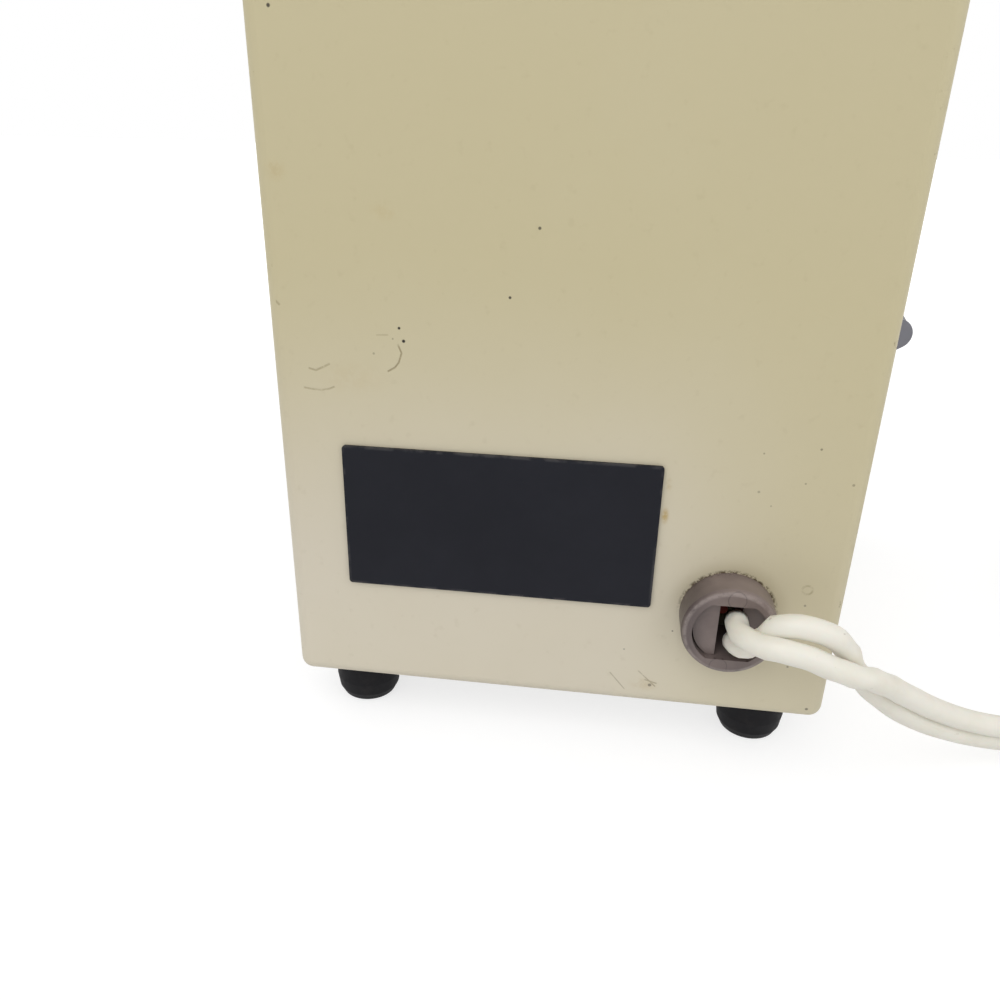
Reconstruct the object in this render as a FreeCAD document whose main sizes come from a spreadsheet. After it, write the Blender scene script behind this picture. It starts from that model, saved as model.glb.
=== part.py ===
import FreeCAD, Part
import Sketcher
import math
import os
import re
from FreeCAD import Placement, Rotation, Vector

# An 8 mm film editor viewer, in millimetres. The origin lies on the table under the
# middle of the casing, +Z is up, and the user sits on the -Y side, facing the screen.

doc = FreeCAD.newDocument("FilmEditorViewer")
sheet = doc.addObject("Spreadsheet::Sheet", "Sizes")

# Driving dimensions: name, value, meaning
drivingSizes = [
    ("bodyWidth", 100, "casing, side to side"),
    ("bodyDepth", 110, "casing, front to back"),
    ("bodyHeight", 150, "casing without its feet"),
    ("footHeight", 10, "rubber foot"),
    ("footRadius", 6.5, "rubber foot"),
    ("footInsetX", 11, "foot centre from the casing's side"),
    ("footInsetY", 10.5, "foot centre from the casing's front and back"),
    ("sheetWall", 1, "casing sheet"),
    ("bendRadius", 2.5, "casing's rounded corners"),
    ("lipWidth", 3.5, "turned-in edge round the casing's bottom"),
    ("panelWall", 1.2, "front panel sheet"),
    ("panelGap", 0.2, "front panel to the casing's side walls"),
    ("plateWall", 1.5, "base plate"),
    ("deckHeight", 38, "film deck above the casing's bottom"),
    ("slotHeight", 36, "film slot, deck to ceiling"),
    ("slotDepth", 27, "film slot, front to back"),
    ("browHeight", 4, "upright strip between film slot and screen face"),
    ("screenTilt", 24, "screen face, leaning back from upright, in degrees"),
    ("filmInset", 10, "middle of the film behind the casing's front"),
    ("screenBelow", 20, "screen face below its window"),
    ("screenAbove", 10.8, "screen face above its window"),
    ("screenSide", 17, "screen window from the casing's side"),
    ("glassMargin", 3, "screen glass beyond its window, each side"),
    ("glassWall", 2, "screen glass"),
    ("hoodDeep", 16, "screen hood, out from the screen face"),
    ("hoodWall", 1.4, "screen hood"),
    ("hoodMargin", 8, "screen hood beyond the window, each side"),
    ("throwLength", 80, "main mirror to screen"),
    ("mirrorWide", 62, "main mirror"),
    ("mirrorTall", 46, "main mirror"),
    ("mirrorWall", 2, "main mirror"),
    ("turnMirrorSide", 16, "small turning mirror, square"),
    ("turnMirrorWall", 1.2, "small turning mirror"),
    ("trackLong", 42, "film track"),
    ("trackWide", 14, "film track"),
    ("trackWall", 1.2, "film track"),
    ("filmWide", 8, "film"),
    ("grooveDeep", 0.4, "film groove in the track"),
    ("filmPitch", 3.81, "film perforation pitch"),
    ("sprocketTeeth", 12, "teeth of the film sprocket"),
    ("toothTall", 0.6, "sprocket tooth beyond the film"),
    ("prismRadius", 6, "image prism, centre to corner"),
    ("shaftRadius", 1.5, "sprocket shaft"),
    ("runningFit", 0.06, "clearance of a turning shaft, on the radius"),
    ("seatFit", 0.03, "clearance of a fixed pin or bush, on the radius"),
    ("markerGap", 2, "between the gate head and the frame marker"),
    ("headTall", 17, "gate head"),
    ("headPivotRise", 15.5, "gate head pivot above the deck"),
    ("hingePinRadius", 1.5, "gate head hinge pin"),
    ("lugSpan", 17, "gate head lug from the middle"),
    ("lensRadius", 5.5, "lens barrel"),
    ("focusRadius", 8, "focus ring"),
    ("knobRadius", 7, "advance knob"),
    ("rollerInset", 10, "guide roller from the casing's side"),
    ("rollerRadius", 3.5, "guide roller, where the film runs"),
    ("rollerFlange", 4.6, "guide roller flange"),
    ("markerInset", 23, "frame marker from the casing's side"),
    ("markerHalf", 5, "half the width of the frame marker's bridge"),
    ("switchInset", 30, "lamp switch from the casing's side"),
    ("lampRise", 17, "lamp axis above the casing's bottom"),
    ("bulbRadius", 7, "lamp bulb"),
    ("capRadius", 4.6, "lamp cap"),
    ("condenserRadius", 7, "condenser lens"),
    ("coreWide", 42, "transformer core"),
    ("coreDeep", 16, "transformer core stack"),
    ("coreTall", 35, "transformer core"),
    ("legWide", 14, "transformer centre leg"),
    ("windingProud", 6.5, "transformer winding beyond its core, front and back"),
    ("coreBefore", 33, "main mirror behind the transformer core's front"),
    ("strapWall", 1.2, "transformer strap"),
    ("strapWide", 10, "transformer strap"),
    ("strapFoot", 10, "transformer strap's foot, out from the core"),
    ("plateLabelWide", 55.2, "nameplate"),
    ("plateLabelTall", 27, "nameplate"),
    ("plateLabelX", 10.8, "nameplate centre from the middle"),
    ("plateLabelRise", 35, "nameplate centre above the casing's bottom"),
    ("labelWall", 0.6, "nameplate"),
    ("reliefX", 30.2, "strain relief from the middle"),
    ("reliefRise", 21.2, "strain relief above the casing's bottom"),
    ("reliefRadius", 8.25, "strain relief collar"),
    ("reliefDeep", 6.5, "strain relief collar"),
    ("reliefNeck", 7.2, "strain relief neck radius, through the back wall"),
    ("cordWide", 7.6, "two-core flat cord, across both cores"),
    ("plugLong", 27, "plug body"),
    ("plugHalf", 6.2, "plug body, half its thickness"),
    ("bladeLong", 16.5, "plug blade"),
    ("bladeWide", 6.2, "plug blade"),
    ("bladeWall", 1.5, "plug blade"),
    ("bladePitch", 12.7, "plug blades, between their middles"),
    ("wireRadius", 0.9, "inner wire"),
    ("armStandoff", 10, "arm pivot from the casing's side"),
    ("hingeRadius", 7, "arm hinge block"),
    ("pinDeep", 12, "arm pivot pin in its block"),
    ("armPivotZ", 118, "arm pivot above the table"),
    ("armReach", 94, "arm pivot to reel spindle"),
    ("armGap", 2, "arm in front of the casing's front"),
    ("armWall", 2.5, "arm plate"),
    ("armPivotRadius", 9, "arm end at its pivot"),
    ("armTipRadius", 8, "arm end at the spindle"),
    ("pivotPinRadius", 2.5, "arm pivot pin"),
    ("gearModule", 0.6, "rewind gears"),
    ("gearTeeth", 42, "crank gear"),
    ("pinionTeeth", 14, "spindle pinion"),
    ("gearWide", 4, "rewind gears"),
    ("gearSide", 0.8, "clearance beside the gears"),
    ("coverWall", 1, "gear cover"),
    ("crankShaftRadius", 2.5, "crank shaft"),
    ("spindleRadius", 3.9, "reel spindle, for a reel with an 8 mm bore"),
    ("spindleHub", 5.5, "shoulder that the reel rests on"),
    ("reelWide", 11.4, "reel over its flanges"),
    ("crankReach", 31, "crank shaft to handle"),
    ("crankWall", 2, "crank"),
    ("crankRest", 29, "crank at rest, above level, in degrees"),
    ("handleLong", 16, "crank handle"),
    ("handleRadius", 5.5, "crank handle"),
    ("handlePinRadius", 1.5, "crank handle's pin"),
]

for row, (alias, value, meaning) in enumerate(drivingSizes, start=1):
    sheet.set("A%d" % row, str(value))
    sheet.setAlias("A%d" % row, alias)
    sheet.set("B%d" % row, meaning)
doc.recompute()

aliases = {alias for alias, value, meaning in drivingSizes}

# Places that several pieces share, worked out from the driving dimensions
places = {
    "frontY": "-bodyDepth / 2",
    "backY": "bodyDepth / 2",
    "sideX": "bodyWidth / 2",
    "bottomZ": "footHeight",
    "topZ": "footHeight + bodyHeight",
    "floorZ": "bottomZ + sheetWall + plateWall",
    "deckZ": "bottomZ + deckHeight",
    "ceilingZ": "deckZ + slotHeight",
    "slantZ": "ceilingZ + browHeight",
    "slotBackY": "frontY + slotDepth",
    "tiltSine": "sin(screenTilt * 1 deg)",
    "tiltCosine": "cos(screenTilt * 1 deg)",
    "tiltTangent": "tan(screenTilt * 1 deg)",
    "filmY": "frontY + filmInset",
    "trackTop": "deckZ + trackWall",
    "filmZ": "trackTop - grooveDeep + 0.2",
    "pitchRadius": "sprocketTeeth * filmPitch / (2 * pi)",
    "rotorZ": "filmZ + pitchRadius",
    "windowWide": "bodyWidth - 2 * screenSide",
    "windowTall": "(topZ - slantZ) / tiltCosine - screenBelow - screenAbove",
    "screenCentre": "screenBelow + windowTall / 2",
    "screenY": "frontY + screenCentre * tiltSine",
    "screenZ": "slantZ + screenCentre * tiltCosine",
    "mainMirrorY": "screenY + throwLength * tiltCosine",
    "mainMirrorZ": "screenZ - throwLength * tiltSine",
    "headTop": "trackTop + 0.8 + headTall",
    "headBack": "slotBackY - 6.2",
    "headFront": "frontY - 1",
    "pivotY": "slotBackY - 3",
    "pivotZ": "deckZ + headPivotRise",
    "lampZ": "bottomZ + lampRise",
    "reliefZ": "bottomZ + reliefRise",
    "armX": "sideX + armStandoff",
    "armBack": "frontY - armGap",
    "armFront": "armBack - armWall",
    "gearBack": "armFront - gearSide",
    "gearFront": "gearBack - gearWide",
    "coverFront": "gearFront - gearSide - coverWall",
    "crankBack": "coverFront - 0.8",
    "crankFront": "crankBack - crankWall",
    "spindleZ": "armPivotZ - armReach",
    "gearCentres": "gearModule * (gearTeeth + pinionTeeth) / 2",
    "crankZ": "spindleZ + gearCentres",
    "gearTip": "gearModule * (gearTeeth / 2 + 0.9)",
    "crankHandleX": "crankReach * cos(crankRest * 1 deg)",
    "crankHandleZ": "crankZ + crankReach * sin(crankRest * 1 deg)",
    "markerX": "sideX - markerInset",
    "headSide": "markerX - markerHalf - markerGap",
    "switchX": "switchInset - sideX",
    "switchZ": "bottomZ + 20",
    "rollerSpan": "sideX - rollerInset",
    "rollerZ": "filmZ + rollerRadius + 0.7",
    "toothY": "filmY - filmWide / 2 + 0.9",
    "lensY": "filmY + 0.8",
    "reflectorRadius": "filmInset - panelWall - 0.4",
    "socketBack": "filmY + bulbRadius + 15.5",
    "coreFront": "mainMirrorY - coreBefore",
    "coreMiddle": "coreFront + coreDeep / 2",
    "coreBack": "coreFront + coreDeep",
    "windingFront": "coreFront - windingProud",
    "windingBack": "coreBack + windingProud",
    "holderWall": "turnMirrorWall / cos(45 * 1 deg) + 1.3",
    "holderRise": "mainMirrorZ - filmY + holderWall",
    "holderSlant": "(holderRise - slantZ) * tiltTangent + panelWall / tiltCosine + 0.3",
    "holderFront": "max(frontY + panelWall + 0.3; (frontY + holderSlant) / (1 - tiltTangent))",
    "yokeGap": "legWide / 2 + 0.3",
    "cavityRadius": "reliefRadius - 1.8",
    "cavityFlat": "reliefRadius - 2.9",
    "cordGap": "cordWide / 2 + 0.3",
}

wordPattern = re.compile(r"[A-Za-z_]\w*")


def bound(expression):
    # the expression in the sheet's cells, with shared places written out
    def swap(match):
        name = match.group(0)
        if name in places:
            return "(" + bound(places[name]) + ")"
        if name in aliases:
            return "Sizes." + name
        return name
    return wordPattern.sub(swap, str(expression))


def number(expression):
    return float(sheet.evalExpression(bound(expression)))


def bind(target, path, expression):
    target.setExpression(path, bound(expression))


def place(target, x, y, z, rotation=None):
    # puts an object at a bound place, turned by a fixed rotation
    where = Vector(number(x), number(y), number(z))
    target.Placement = Placement(where, rotation or Rotation())
    for axis, expression in (("x", x), ("y", y), ("z", z)):
        bind(target, "Placement.Base." + axis, expression)
    return target


alongY = Rotation(Vector(0, 0, 1), Vector(0, 1, 0))
alongX = Rotation(Vector(0, 0, 1), Vector(1, 0, 0))
upright = Rotation(Vector(1, 0, 0), 90)

nodes = {}


def keep(nodeName, made):
    made.Label = nodeName
    nodes[nodeName] = made
    return made


# Primitives and booleans


def block(name, x, y, z):
    # a box from three pairs of bound limits
    made = doc.addObject("Part::Box", name)
    for side, limits in zip(("Length", "Width", "Height"), (x, y, z)):
        bind(made, side, "(%s) - (%s)" % (limits[1], limits[0]))
    place(made, x[0], y[0], z[0])
    return made


def leaningBlock(name, x, y, z, centreY, centreZ, lean):
    # a box whose limits are counted from a centre; its top leans back by an angle
    made = doc.addObject("Part::Box", name)
    for side, limits in zip(("Length", "Width", "Height"), (x, y, z)):
        bind(made, side, "(%s) - (%s)" % (limits[1], limits[0]))
    words = {"y": y[0], "z": z[0], "lean": lean}
    baseY = "(%s) + " % centreY + "(%(y)s) * cos(%(lean)s * 1 deg) + (%(z)s) * sin(%(lean)s * 1 deg)" % words
    baseZ = "(%s) + " % centreZ + "(%(z)s) * cos(%(lean)s * 1 deg) - (%(y)s) * sin(%(lean)s * 1 deg)" % words
    place(made, x[0], baseY, baseZ, Rotation(Vector(-1, 0, 0), number(lean)))
    bind(made, "Placement.Rotation.Angle", "%s * 1 deg" % lean)
    return made


def rod(name, radius, low, high, x, z, rotation=alongY, y="0"):
    # a cylinder between two places on its axis
    made = doc.addObject("Part::Cylinder", name)
    bind(made, "Radius", radius)
    bind(made, "Height", "(%s) - (%s)" % (high, low))
    if rotation == alongY:
        return place(made, x, low, z, rotation)
    if rotation == alongX:
        return place(made, low, y, z, rotation)
    return place(made, x, y, low, rotation)


def cut(name, base, tools):
    made = doc.addObject("Part::Cut", name)
    made.Base = base
    made.Tool = tools[0] if len(tools) == 1 else fuse(name + "Tools", tools)
    return made


def fuse(name, pieces):
    made = doc.addObject("Part::MultiFuse", name)
    made.Shapes = pieces
    return made


def group(name, pieces):
    # separate solids kept in one node
    made = doc.addObject("Part::Compound", name)
    made.Links = pieces
    return made


def roundEdges(name, base, radius, test):
    doc.recompute()
    made = doc.addObject("Part::Fillet", name)
    made.Base = base
    edges = [i for i, edge in enumerate(base.Shape.Edges, start=1) if test(edge)]
    made.Edges = [(i, number(radius), number(radius)) for i in edges]
    return made


def near(a, b):
    return abs(a - b) < 1e-4


# Bodies made from sketches


def newBody(name):
    return doc.addObject("PartDesign::Body", name)


def newSketch(body, name, plane, offset=None):
    sketch = body.newObject("Sketcher::SketchObject", name)
    support = [f for f in body.Origin.OriginFeatures if f.Role == plane + "_Plane"][0]
    sketch.AttachmentSupport = [(support, "")]
    sketch.MapMode = "FlatFace"
    if offset is not None:
        sketch.AttachmentOffset = Placement(Vector(0, 0, number(offset)), Rotation())
        bind(sketch, "AttachmentOffset.Base.z", offset)
    return sketch


def fixPoint(sketch, geometry, point, x, y):
    # ties one point of a sketch to bound coordinates
    for kind, expression in (("DistanceX", x), ("DistanceY", y)):
        value = number(expression)
        index = sketch.addConstraint(Sketcher.Constraint(kind, -1, 1, geometry, point, value))
        bind(sketch, "Constraints[%d]" % index, expression)


def drawPolygon(sketch, points):
    values = [Vector(number(x), number(y), 0) for x, y in points]
    first = sketch.GeometryCount
    count = len(points)
    for i in range(count):
        sketch.addGeometry(Part.LineSegment(values[i], values[(i + 1) % count]), False)
    for i in range(count):
        after = first + (i + 1) % count
        sketch.addConstraint(Sketcher.Constraint("Coincident", first + i, 2, after, 1))
    for i, (x, y) in enumerate(points):
        fixPoint(sketch, first + i, 1, x, y)


def drawRectangle(sketch, x, y):
    drawPolygon(sketch, [(x[0], y[0]), (x[1], y[0]), (x[1], y[1]), (x[0], y[1])])


def drawCircle(sketch, x, y, radius):
    centre = Vector(number(x), number(y), 0)
    circle = sketch.addGeometry(Part.Circle(centre, Vector(0, 0, 1), number(radius)), False)
    fixPoint(sketch, circle, 3, x, y)
    size = sketch.addConstraint(Sketcher.Constraint("Radius", circle, number(radius)))
    bind(sketch, "Constraints[%d]" % size, radius)


def drawCapsule(sketch, lowEnd, highEnd):
    # two arcs, one above the other, joined by their common tangents
    (x, lowZ, lowRadius), (x, highZ, highRadius) = lowEnd, highEnd
    low = Vector(number(x), number(lowZ), 0)
    high = Vector(number(x), number(highZ), 0)
    radii = (number(lowRadius), number(highRadius))
    lean = math.asin((radii[0] - radii[1]) / (high - low).Length)
    across = Vector(0, 0, 1)
    lowArc = Part.ArcOfCircle(Part.Circle(low, across, radii[0]), math.pi - lean, 2 * math.pi + lean)
    highArc = Part.ArcOfCircle(Part.Circle(high, across, radii[1]), lean, math.pi - lean)
    rightLine = Part.LineSegment(lowArc.EndPoint, highArc.StartPoint)
    leftLine = Part.LineSegment(highArc.EndPoint, lowArc.StartPoint)
    order = [sketch.addGeometry(g, False) for g in (lowArc, rightLine, highArc, leftLine)]
    for this, after in zip(order, order[1:] + order[:1]):
        sketch.addConstraint(Sketcher.Constraint("Tangent", this, 2, after, 1))
    for arc, z, radius in ((order[0], lowZ, lowRadius), (order[2], highZ, highRadius)):
        fixPoint(sketch, arc, 3, x, z)
        size = sketch.addConstraint(Sketcher.Constraint("Radius", arc, number(radius)))
        bind(sketch, "Constraints[%d]" % size, radius)


def pad(body, sketch, length, midplane=False):
    made = body.newObject("PartDesign::Pad", sketch.Name + "Pad")
    made.Profile = sketch
    made.Midplane = midplane
    bind(made, "Length", length)
    return made


def pocket(body, sketch, length, midplane=False, backward=False):
    # cuts away, and makes sure that something was cut
    doc.recompute()
    before = body.Shape.Volume
    made = body.newObject("PartDesign::Pocket", sketch.Name + "Pocket")
    made.Profile = sketch
    made.Midplane = midplane
    made.Reversed = backward
    bind(made, "Length", length)
    doc.recompute()
    if body.Shape.Volume > before - 1e-3:
        raise RuntimeError(sketch.Name + " cuts nothing")
    return made


def turned(name, profile, x="0", y="0", z="0", rotation=alongY):
    # a turned piece: the profile gives radius and place along the axis
    body = newBody(name)
    sketch = newSketch(body, name + "Profile", "XZ")
    drawPolygon(sketch, profile)
    spun = body.newObject("PartDesign::Revolution", name + "Turned")
    spun.Profile = sketch
    spun.ReferenceAxis = (sketch, ["V_Axis"])
    spun.Angle = 360
    return place(body, x, y, z, rotation)


def solidFeature(name, shape, placement):
    made = doc.addObject("Part::Feature", name)
    made.Shape = shape
    made.Placement = placement
    return made


# Casing, base and front


def buildCasing():
    outside = newBody("CasingOutside")
    side = newSketch(outside, "CasingSide", "YZ")
    drawPolygon(side, [
        ("backY", "bottomZ"),
        ("frontY", "bottomZ"),
        ("frontY", "deckZ"),
        ("slotBackY", "deckZ"),
        ("slotBackY", "ceilingZ"),
        ("frontY", "ceilingZ"),
        ("frontY", "slantZ"),
        ("frontY + (topZ - slantZ) * tiltTangent", "topZ"),
        ("backY", "topZ"),
    ])
    pad(outside, side, "bodyWidth", midplane=True)
    back, top, bottom = number("backY"), number("topZ"), number("bottomZ")
    half = number("sideX")

    def outerEdge(edge):
        box = edge.BoundBox
        onBack = near(box.YMin, back)
        onTop = near(box.ZMin, top) and box.YLength > 1
        onBottom = near(box.ZMax, bottom) and box.YLength > 1
        atSide = near(abs(box.XMin), half) and box.XLength < 1
        return onBack or (atSide and (onTop or onBottom))

    rounded = roundEdges("CasingRounded", outside, "bendRadius", outerEdge)
    inside = block("CasingInside",
                   ("-sideX + sheetWall", "sideX - sheetWall"),
                   ("frontY - 10", "backY - sheetWall"),
                   ("bottomZ + sheetWall", "topZ - sheetWall"))
    innerBack = number("backY - sheetWall")
    hollow = roundEdges("CasingHollow", inside, "bendRadius - sheetWall",
                        lambda edge: near(edge.BoundBox.YMin, innerBack) or edge.BoundBox.YLength > 1)
    mouth = block("CasingMouth",
                  ("-sideX + lipWidth", "sideX - lipWidth"),
                  ("frontY - 1", "backY - lipWidth"),
                  ("bottomZ - 1", "bottomZ + sheetWall + 0.5"))
    reliefHole = rod("ReliefHole", "reliefNeck + seatFit", "backY - sheetWall - 1", "backY + 1",
                     "-reliefX", "reliefZ")
    tools = [hollow, mouth, reliefHole]
    for column in range(-3, 4):
        middle = "%d * 9" % column
        tools.append(block("TopVent%d" % (column + 3),
                           (middle + " - 1.5", middle + " + 1.5"),
                           ("backY - 42", "backY - 16"),
                           ("topZ - sheetWall - 1", "topZ + 1")))
    keep("rear_casing", cut("Casing", rounded, tools))


def footPlaces():
    left, front = "-sideX + footInsetX", "frontY + footInsetY"
    right, back = "sideX - footInsetX", "backY - footInsetY"
    return [(left, front), (right, front), (left, back), (right, back)]


def buildBase():
    body = newBody("BasePlate")
    outline = newSketch(body, "BaseOutline", "XY", "bottomZ + sheetWall")
    drawRectangle(outline,
                  ("-sideX + bendRadius + 0.2", "sideX - bendRadius - 0.2"),
                  ("frontY", "backY - bendRadius - 0.2"))
    pad(body, outline, "plateWall")
    doc.recompute()
    corners = [e for e, edge in enumerate(body.Shape.Edges, start=1) if edge.BoundBox.ZLength > 1]
    slab = body.Tip
    rounded = body.newObject("PartDesign::Fillet", "BaseCorners")
    rounded.Base = (slab, ["Edge%d" % e for e in corners])
    bind(rounded, "Radius", "bendRadius")
    holes = newSketch(body, "BaseHoles", "XY", "bottomZ + sheetWall")
    for x, y in footPlaces():
        drawCircle(holes, x, y, "1.7")
    for row in range(5):
        drawRectangle(holes, ("-18", "18"), ("frontY + 30 + %d" % (row * 7), "frontY + 33 + %d" % (row * 7)))
    pocket(body, holes, "plateWall", backward=True)
    keep("base_plate", body)

    feet = []
    screws = []
    for index, (x, y) in enumerate(footPlaces()):
        feet.append(turned("Foot%d" % index, [
            ("1.7", "footHeight + sheetWall"),
            ("1.7", "5.5"),
            ("3.2", "5.5"),
            ("3.2", "0"),
            ("footRadius - 2.2", "0"),
            ("footRadius - 1.1", "0.5"),
            ("footRadius - 0.35", "2"),
            ("footRadius", "4.5"),
            ("footRadius", "footHeight + sheetWall"),
        ], x, y, "0", Rotation()))
        screws.append(turned("FootScrew%d" % index, [
            ("0", "3.4"),
            ("2.2", "3.4"),
            ("2.9", "4.3"),
            ("2.9", "5.5"),
            ("1.5", "5.5"),
            ("1.5", "floorZ + panelWall + 2.4"),
            ("0", "floorZ + panelWall + 2.4"),
        ], x, y, "0", Rotation()))
    keep("rubber_feet", group("Feet", feet))
    keep("foot_screws", group("FootScrews", screws))


def buildFrontPanel():
    body = newBody("PanelStrip")
    strip = newSketch(body, "PanelSide", "YZ")
    endZ = "topZ - sheetWall"
    halfTilt = "tan(screenTilt / 2 * 1 deg)"
    drawPolygon(strip, [
        ("frontY + 16", "floorZ"),
        ("frontY", "floorZ"),
        ("frontY", "deckZ"),
        ("slotBackY", "deckZ"),
        ("slotBackY", "ceilingZ"),
        ("frontY", "ceilingZ"),
        ("frontY", "slantZ"),
        ("frontY + (%s - slantZ) * tiltTangent" % endZ, endZ),
        ("frontY + (%s - slantZ) * tiltTangent + panelWall / tiltCosine" % endZ, endZ),
        ("frontY + panelWall", "slantZ - panelWall * " + halfTilt),
        ("frontY + panelWall", "ceilingZ + panelWall"),
        ("slotBackY + panelWall", "ceilingZ + panelWall"),
        ("slotBackY + panelWall", "deckZ - panelWall"),
        ("frontY + panelWall", "deckZ - panelWall"),
        ("frontY + panelWall", "floorZ + panelWall"),
        ("frontY + 16", "floorZ + panelWall"),
    ])
    pad(body, strip, "bodyWidth - 2 * sheetWall - 2 * panelGap", midplane=True)
    window = leaningBlock("WindowCut",
                          ("-windowWide / 2", "windowWide / 2"), ("-3", "4"),
                          ("-windowTall / 2", "windowTall / 2"), "screenY", "screenZ", "screenTilt")
    tools = [
        window,
        rod("DeckHole", "5", "deckZ - 3", "deckZ + 1", "0", "0", Rotation(), "filmY"),
        rod("CeilingHole", "8", "ceilingZ - 1", "ceilingZ + 3", "0", "0", Rotation(), "filmY"),
        rod("ReflectorHole", "reflectorRadius + 0.2", "floorZ - 1", "floorZ + 3", "0", "0",
            Rotation(), "filmY"),
        block("SwitchHole", ("switchX - 5", "switchX + 5"), ("frontY - 1", "frontY + 3"),
              ("switchZ - 6.5", "switchZ + 6.5")),
    ]
    for side in (-1, 1):
        limits = ("sideX - bendRadius", "sideX") if side > 0 else ("-sideX", "bendRadius - sideX")
        tools.append(block("PanelCorner", limits, ("frontY", "backY"), ("topZ - bendRadius", "topZ")))
        tools.append(rod("RollerPinHole", "2 + seatFit", "slotBackY - 1", "slotBackY + 3",
                         "%d * rollerSpan" % side, "rollerZ"))
        tools.append(rod("PanelScrewHole", "1.7", "floorZ - 1", "floorZ + 3",
                         "%d * (sideX - footInsetX)" % side, "0", Rotation(), "frontY + footInsetY"))
    keep("front_panel", cut("FrontPanel", body, tools))


def buildScreen():
    glass = leaningBlock("ScreenGlass",
                         ("-windowWide / 2 - glassMargin", "windowWide / 2 + glassMargin"),
                         ("panelWall", "panelWall + glassWall"),
                         ("-windowTall / 2 - glassMargin", "windowTall / 2 + glassMargin"),
                         "screenY", "screenZ", "screenTilt")
    keep("screen_glass", glass)
    wide = "windowWide / 2 + hoodMargin"
    tall = "windowTall / 2 + hoodMargin"
    shell = leaningBlock("HoodShell",
                         ("-(%s)" % wide, wide), ("-hoodDeep", "0"), ("-(%s)" % tall, tall),
                         "screenY", "screenZ", "screenTilt")
    mouth = leaningBlock("HoodMouth",
                         ("-(%s) + hoodWall" % wide, wide + " - hoodWall"), ("-hoodDeep - 1", "-2"),
                         ("-(%s) + hoodWall" % tall, tall + " - hoodWall"),
                         "screenY", "screenZ", "screenTilt")
    opening = leaningBlock("HoodWindow",
                           ("-windowWide / 2 - 0.5", "windowWide / 2 + 0.5"), ("-3", "1"),
                           ("-windowTall / 2 - 0.5", "windowTall / 2 + 0.5"),
                           "screenY", "screenZ", "screenTilt")
    keep("screen_hood", cut("Hood", shell, [mouth, opening]))


# Light path


def buildMirrors():
    # the main mirror halves the angle between the level beam and the screen's axis
    lean = "screenTilt / 2"
    mirror = leaningBlock("MainMirror",
                          ("-mirrorWide / 2", "mirrorWide / 2"), ("0", "mirrorWall"),
                          ("-mirrorTall / 2", "mirrorTall / 2"), "mainMirrorY", "mainMirrorZ", lean)
    keep("main_mirror", mirror)
    rise = "mainMirrorZ + mirrorTall / 2 - floorZ"
    cradleLow = "-(%s) - 12" % rise
    sheetPlate = leaningBlock("CradlePlate",
                              ("-mirrorWide / 2 - 1", "mirrorWide / 2 + 1"),
                              ("mirrorWall", "mirrorWall + 1.5"),
                              (cradleLow, "mirrorTall / 2"), "mainMirrorY", "mainMirrorZ", lean)
    shelf = leaningBlock("CradleShelf",
                         ("-mirrorWide / 2 - 1", "mirrorWide / 2 + 1"),
                         ("-1", "mirrorWall + 1"),
                         ("-mirrorTall / 2 - 1.5", "-mirrorTall / 2"), "mainMirrorY", "mainMirrorZ", lean)
    legs = block("CradleLegGap", ("-22", "22"), ("0", "backY"), ("floorZ - 20", "floorZ + 38"))
    below = block("CradleBelow", ("-sideX", "sideX"), ("-10", "backY + 20"), ("floorZ - 40", "floorZ"))
    footY = "mainMirrorY + (mirrorWall + 1) - (mainMirrorZ - floorZ) * tan(screenTilt / 2 * 1 deg)"
    foot = block("CradleFoot", ("-mirrorWide / 2 - 1", "mirrorWide / 2 + 1"),
                 (footY, footY + " + 12"), ("floorZ", "floorZ + 1.5"))
    cradle = cut("Cradle", fuse("CradleWhole", [sheetPlate, shelf, foot]), [legs, below])
    keep("mirror_bracket", cradle)

    small = leaningBlock("TurningMirror",
                         ("-turnMirrorSide / 2", "turnMirrorSide / 2"),
                         ("-turnMirrorWall", "0"),
                         ("-turnMirrorSide / 2", "turnMirrorSide / 2"), "filmY", "mainMirrorZ", "45")
    keep("turning_mirror", small)
    holder = newBody("MirrorHolder")
    cheek = newSketch(holder, "HolderSide", "YZ")
    holderLow = "ceilingZ + panelWall"
    drawPolygon(cheek, [
        ("holderFront", holderLow),
        ("filmY + 7", holderLow),
        ("filmY + 7", "filmY + 7 + holderRise"),
        ("holderFront", "holderFront + holderRise"),
    ])
    pad(holder, cheek, "turnMirrorSide + 2.8", midplane=True)
    bay = newSketch(holder, "HolderBay", "YZ")
    bayLine = "holderRise - 1.2"
    drawPolygon(bay, [
        ("frontY - 20", "ceilingZ - 30"),
        ("filmY + 30", "ceilingZ - 30"),
        ("filmY + 30", "filmY + 30 + " + bayLine),
        ("frontY - 20", "frontY - 20 + " + bayLine),
    ])
    pocket(holder, bay, "turnMirrorSide + 0.2", midplane=True)
    keep("turning_mirror_holder", holder)


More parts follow.
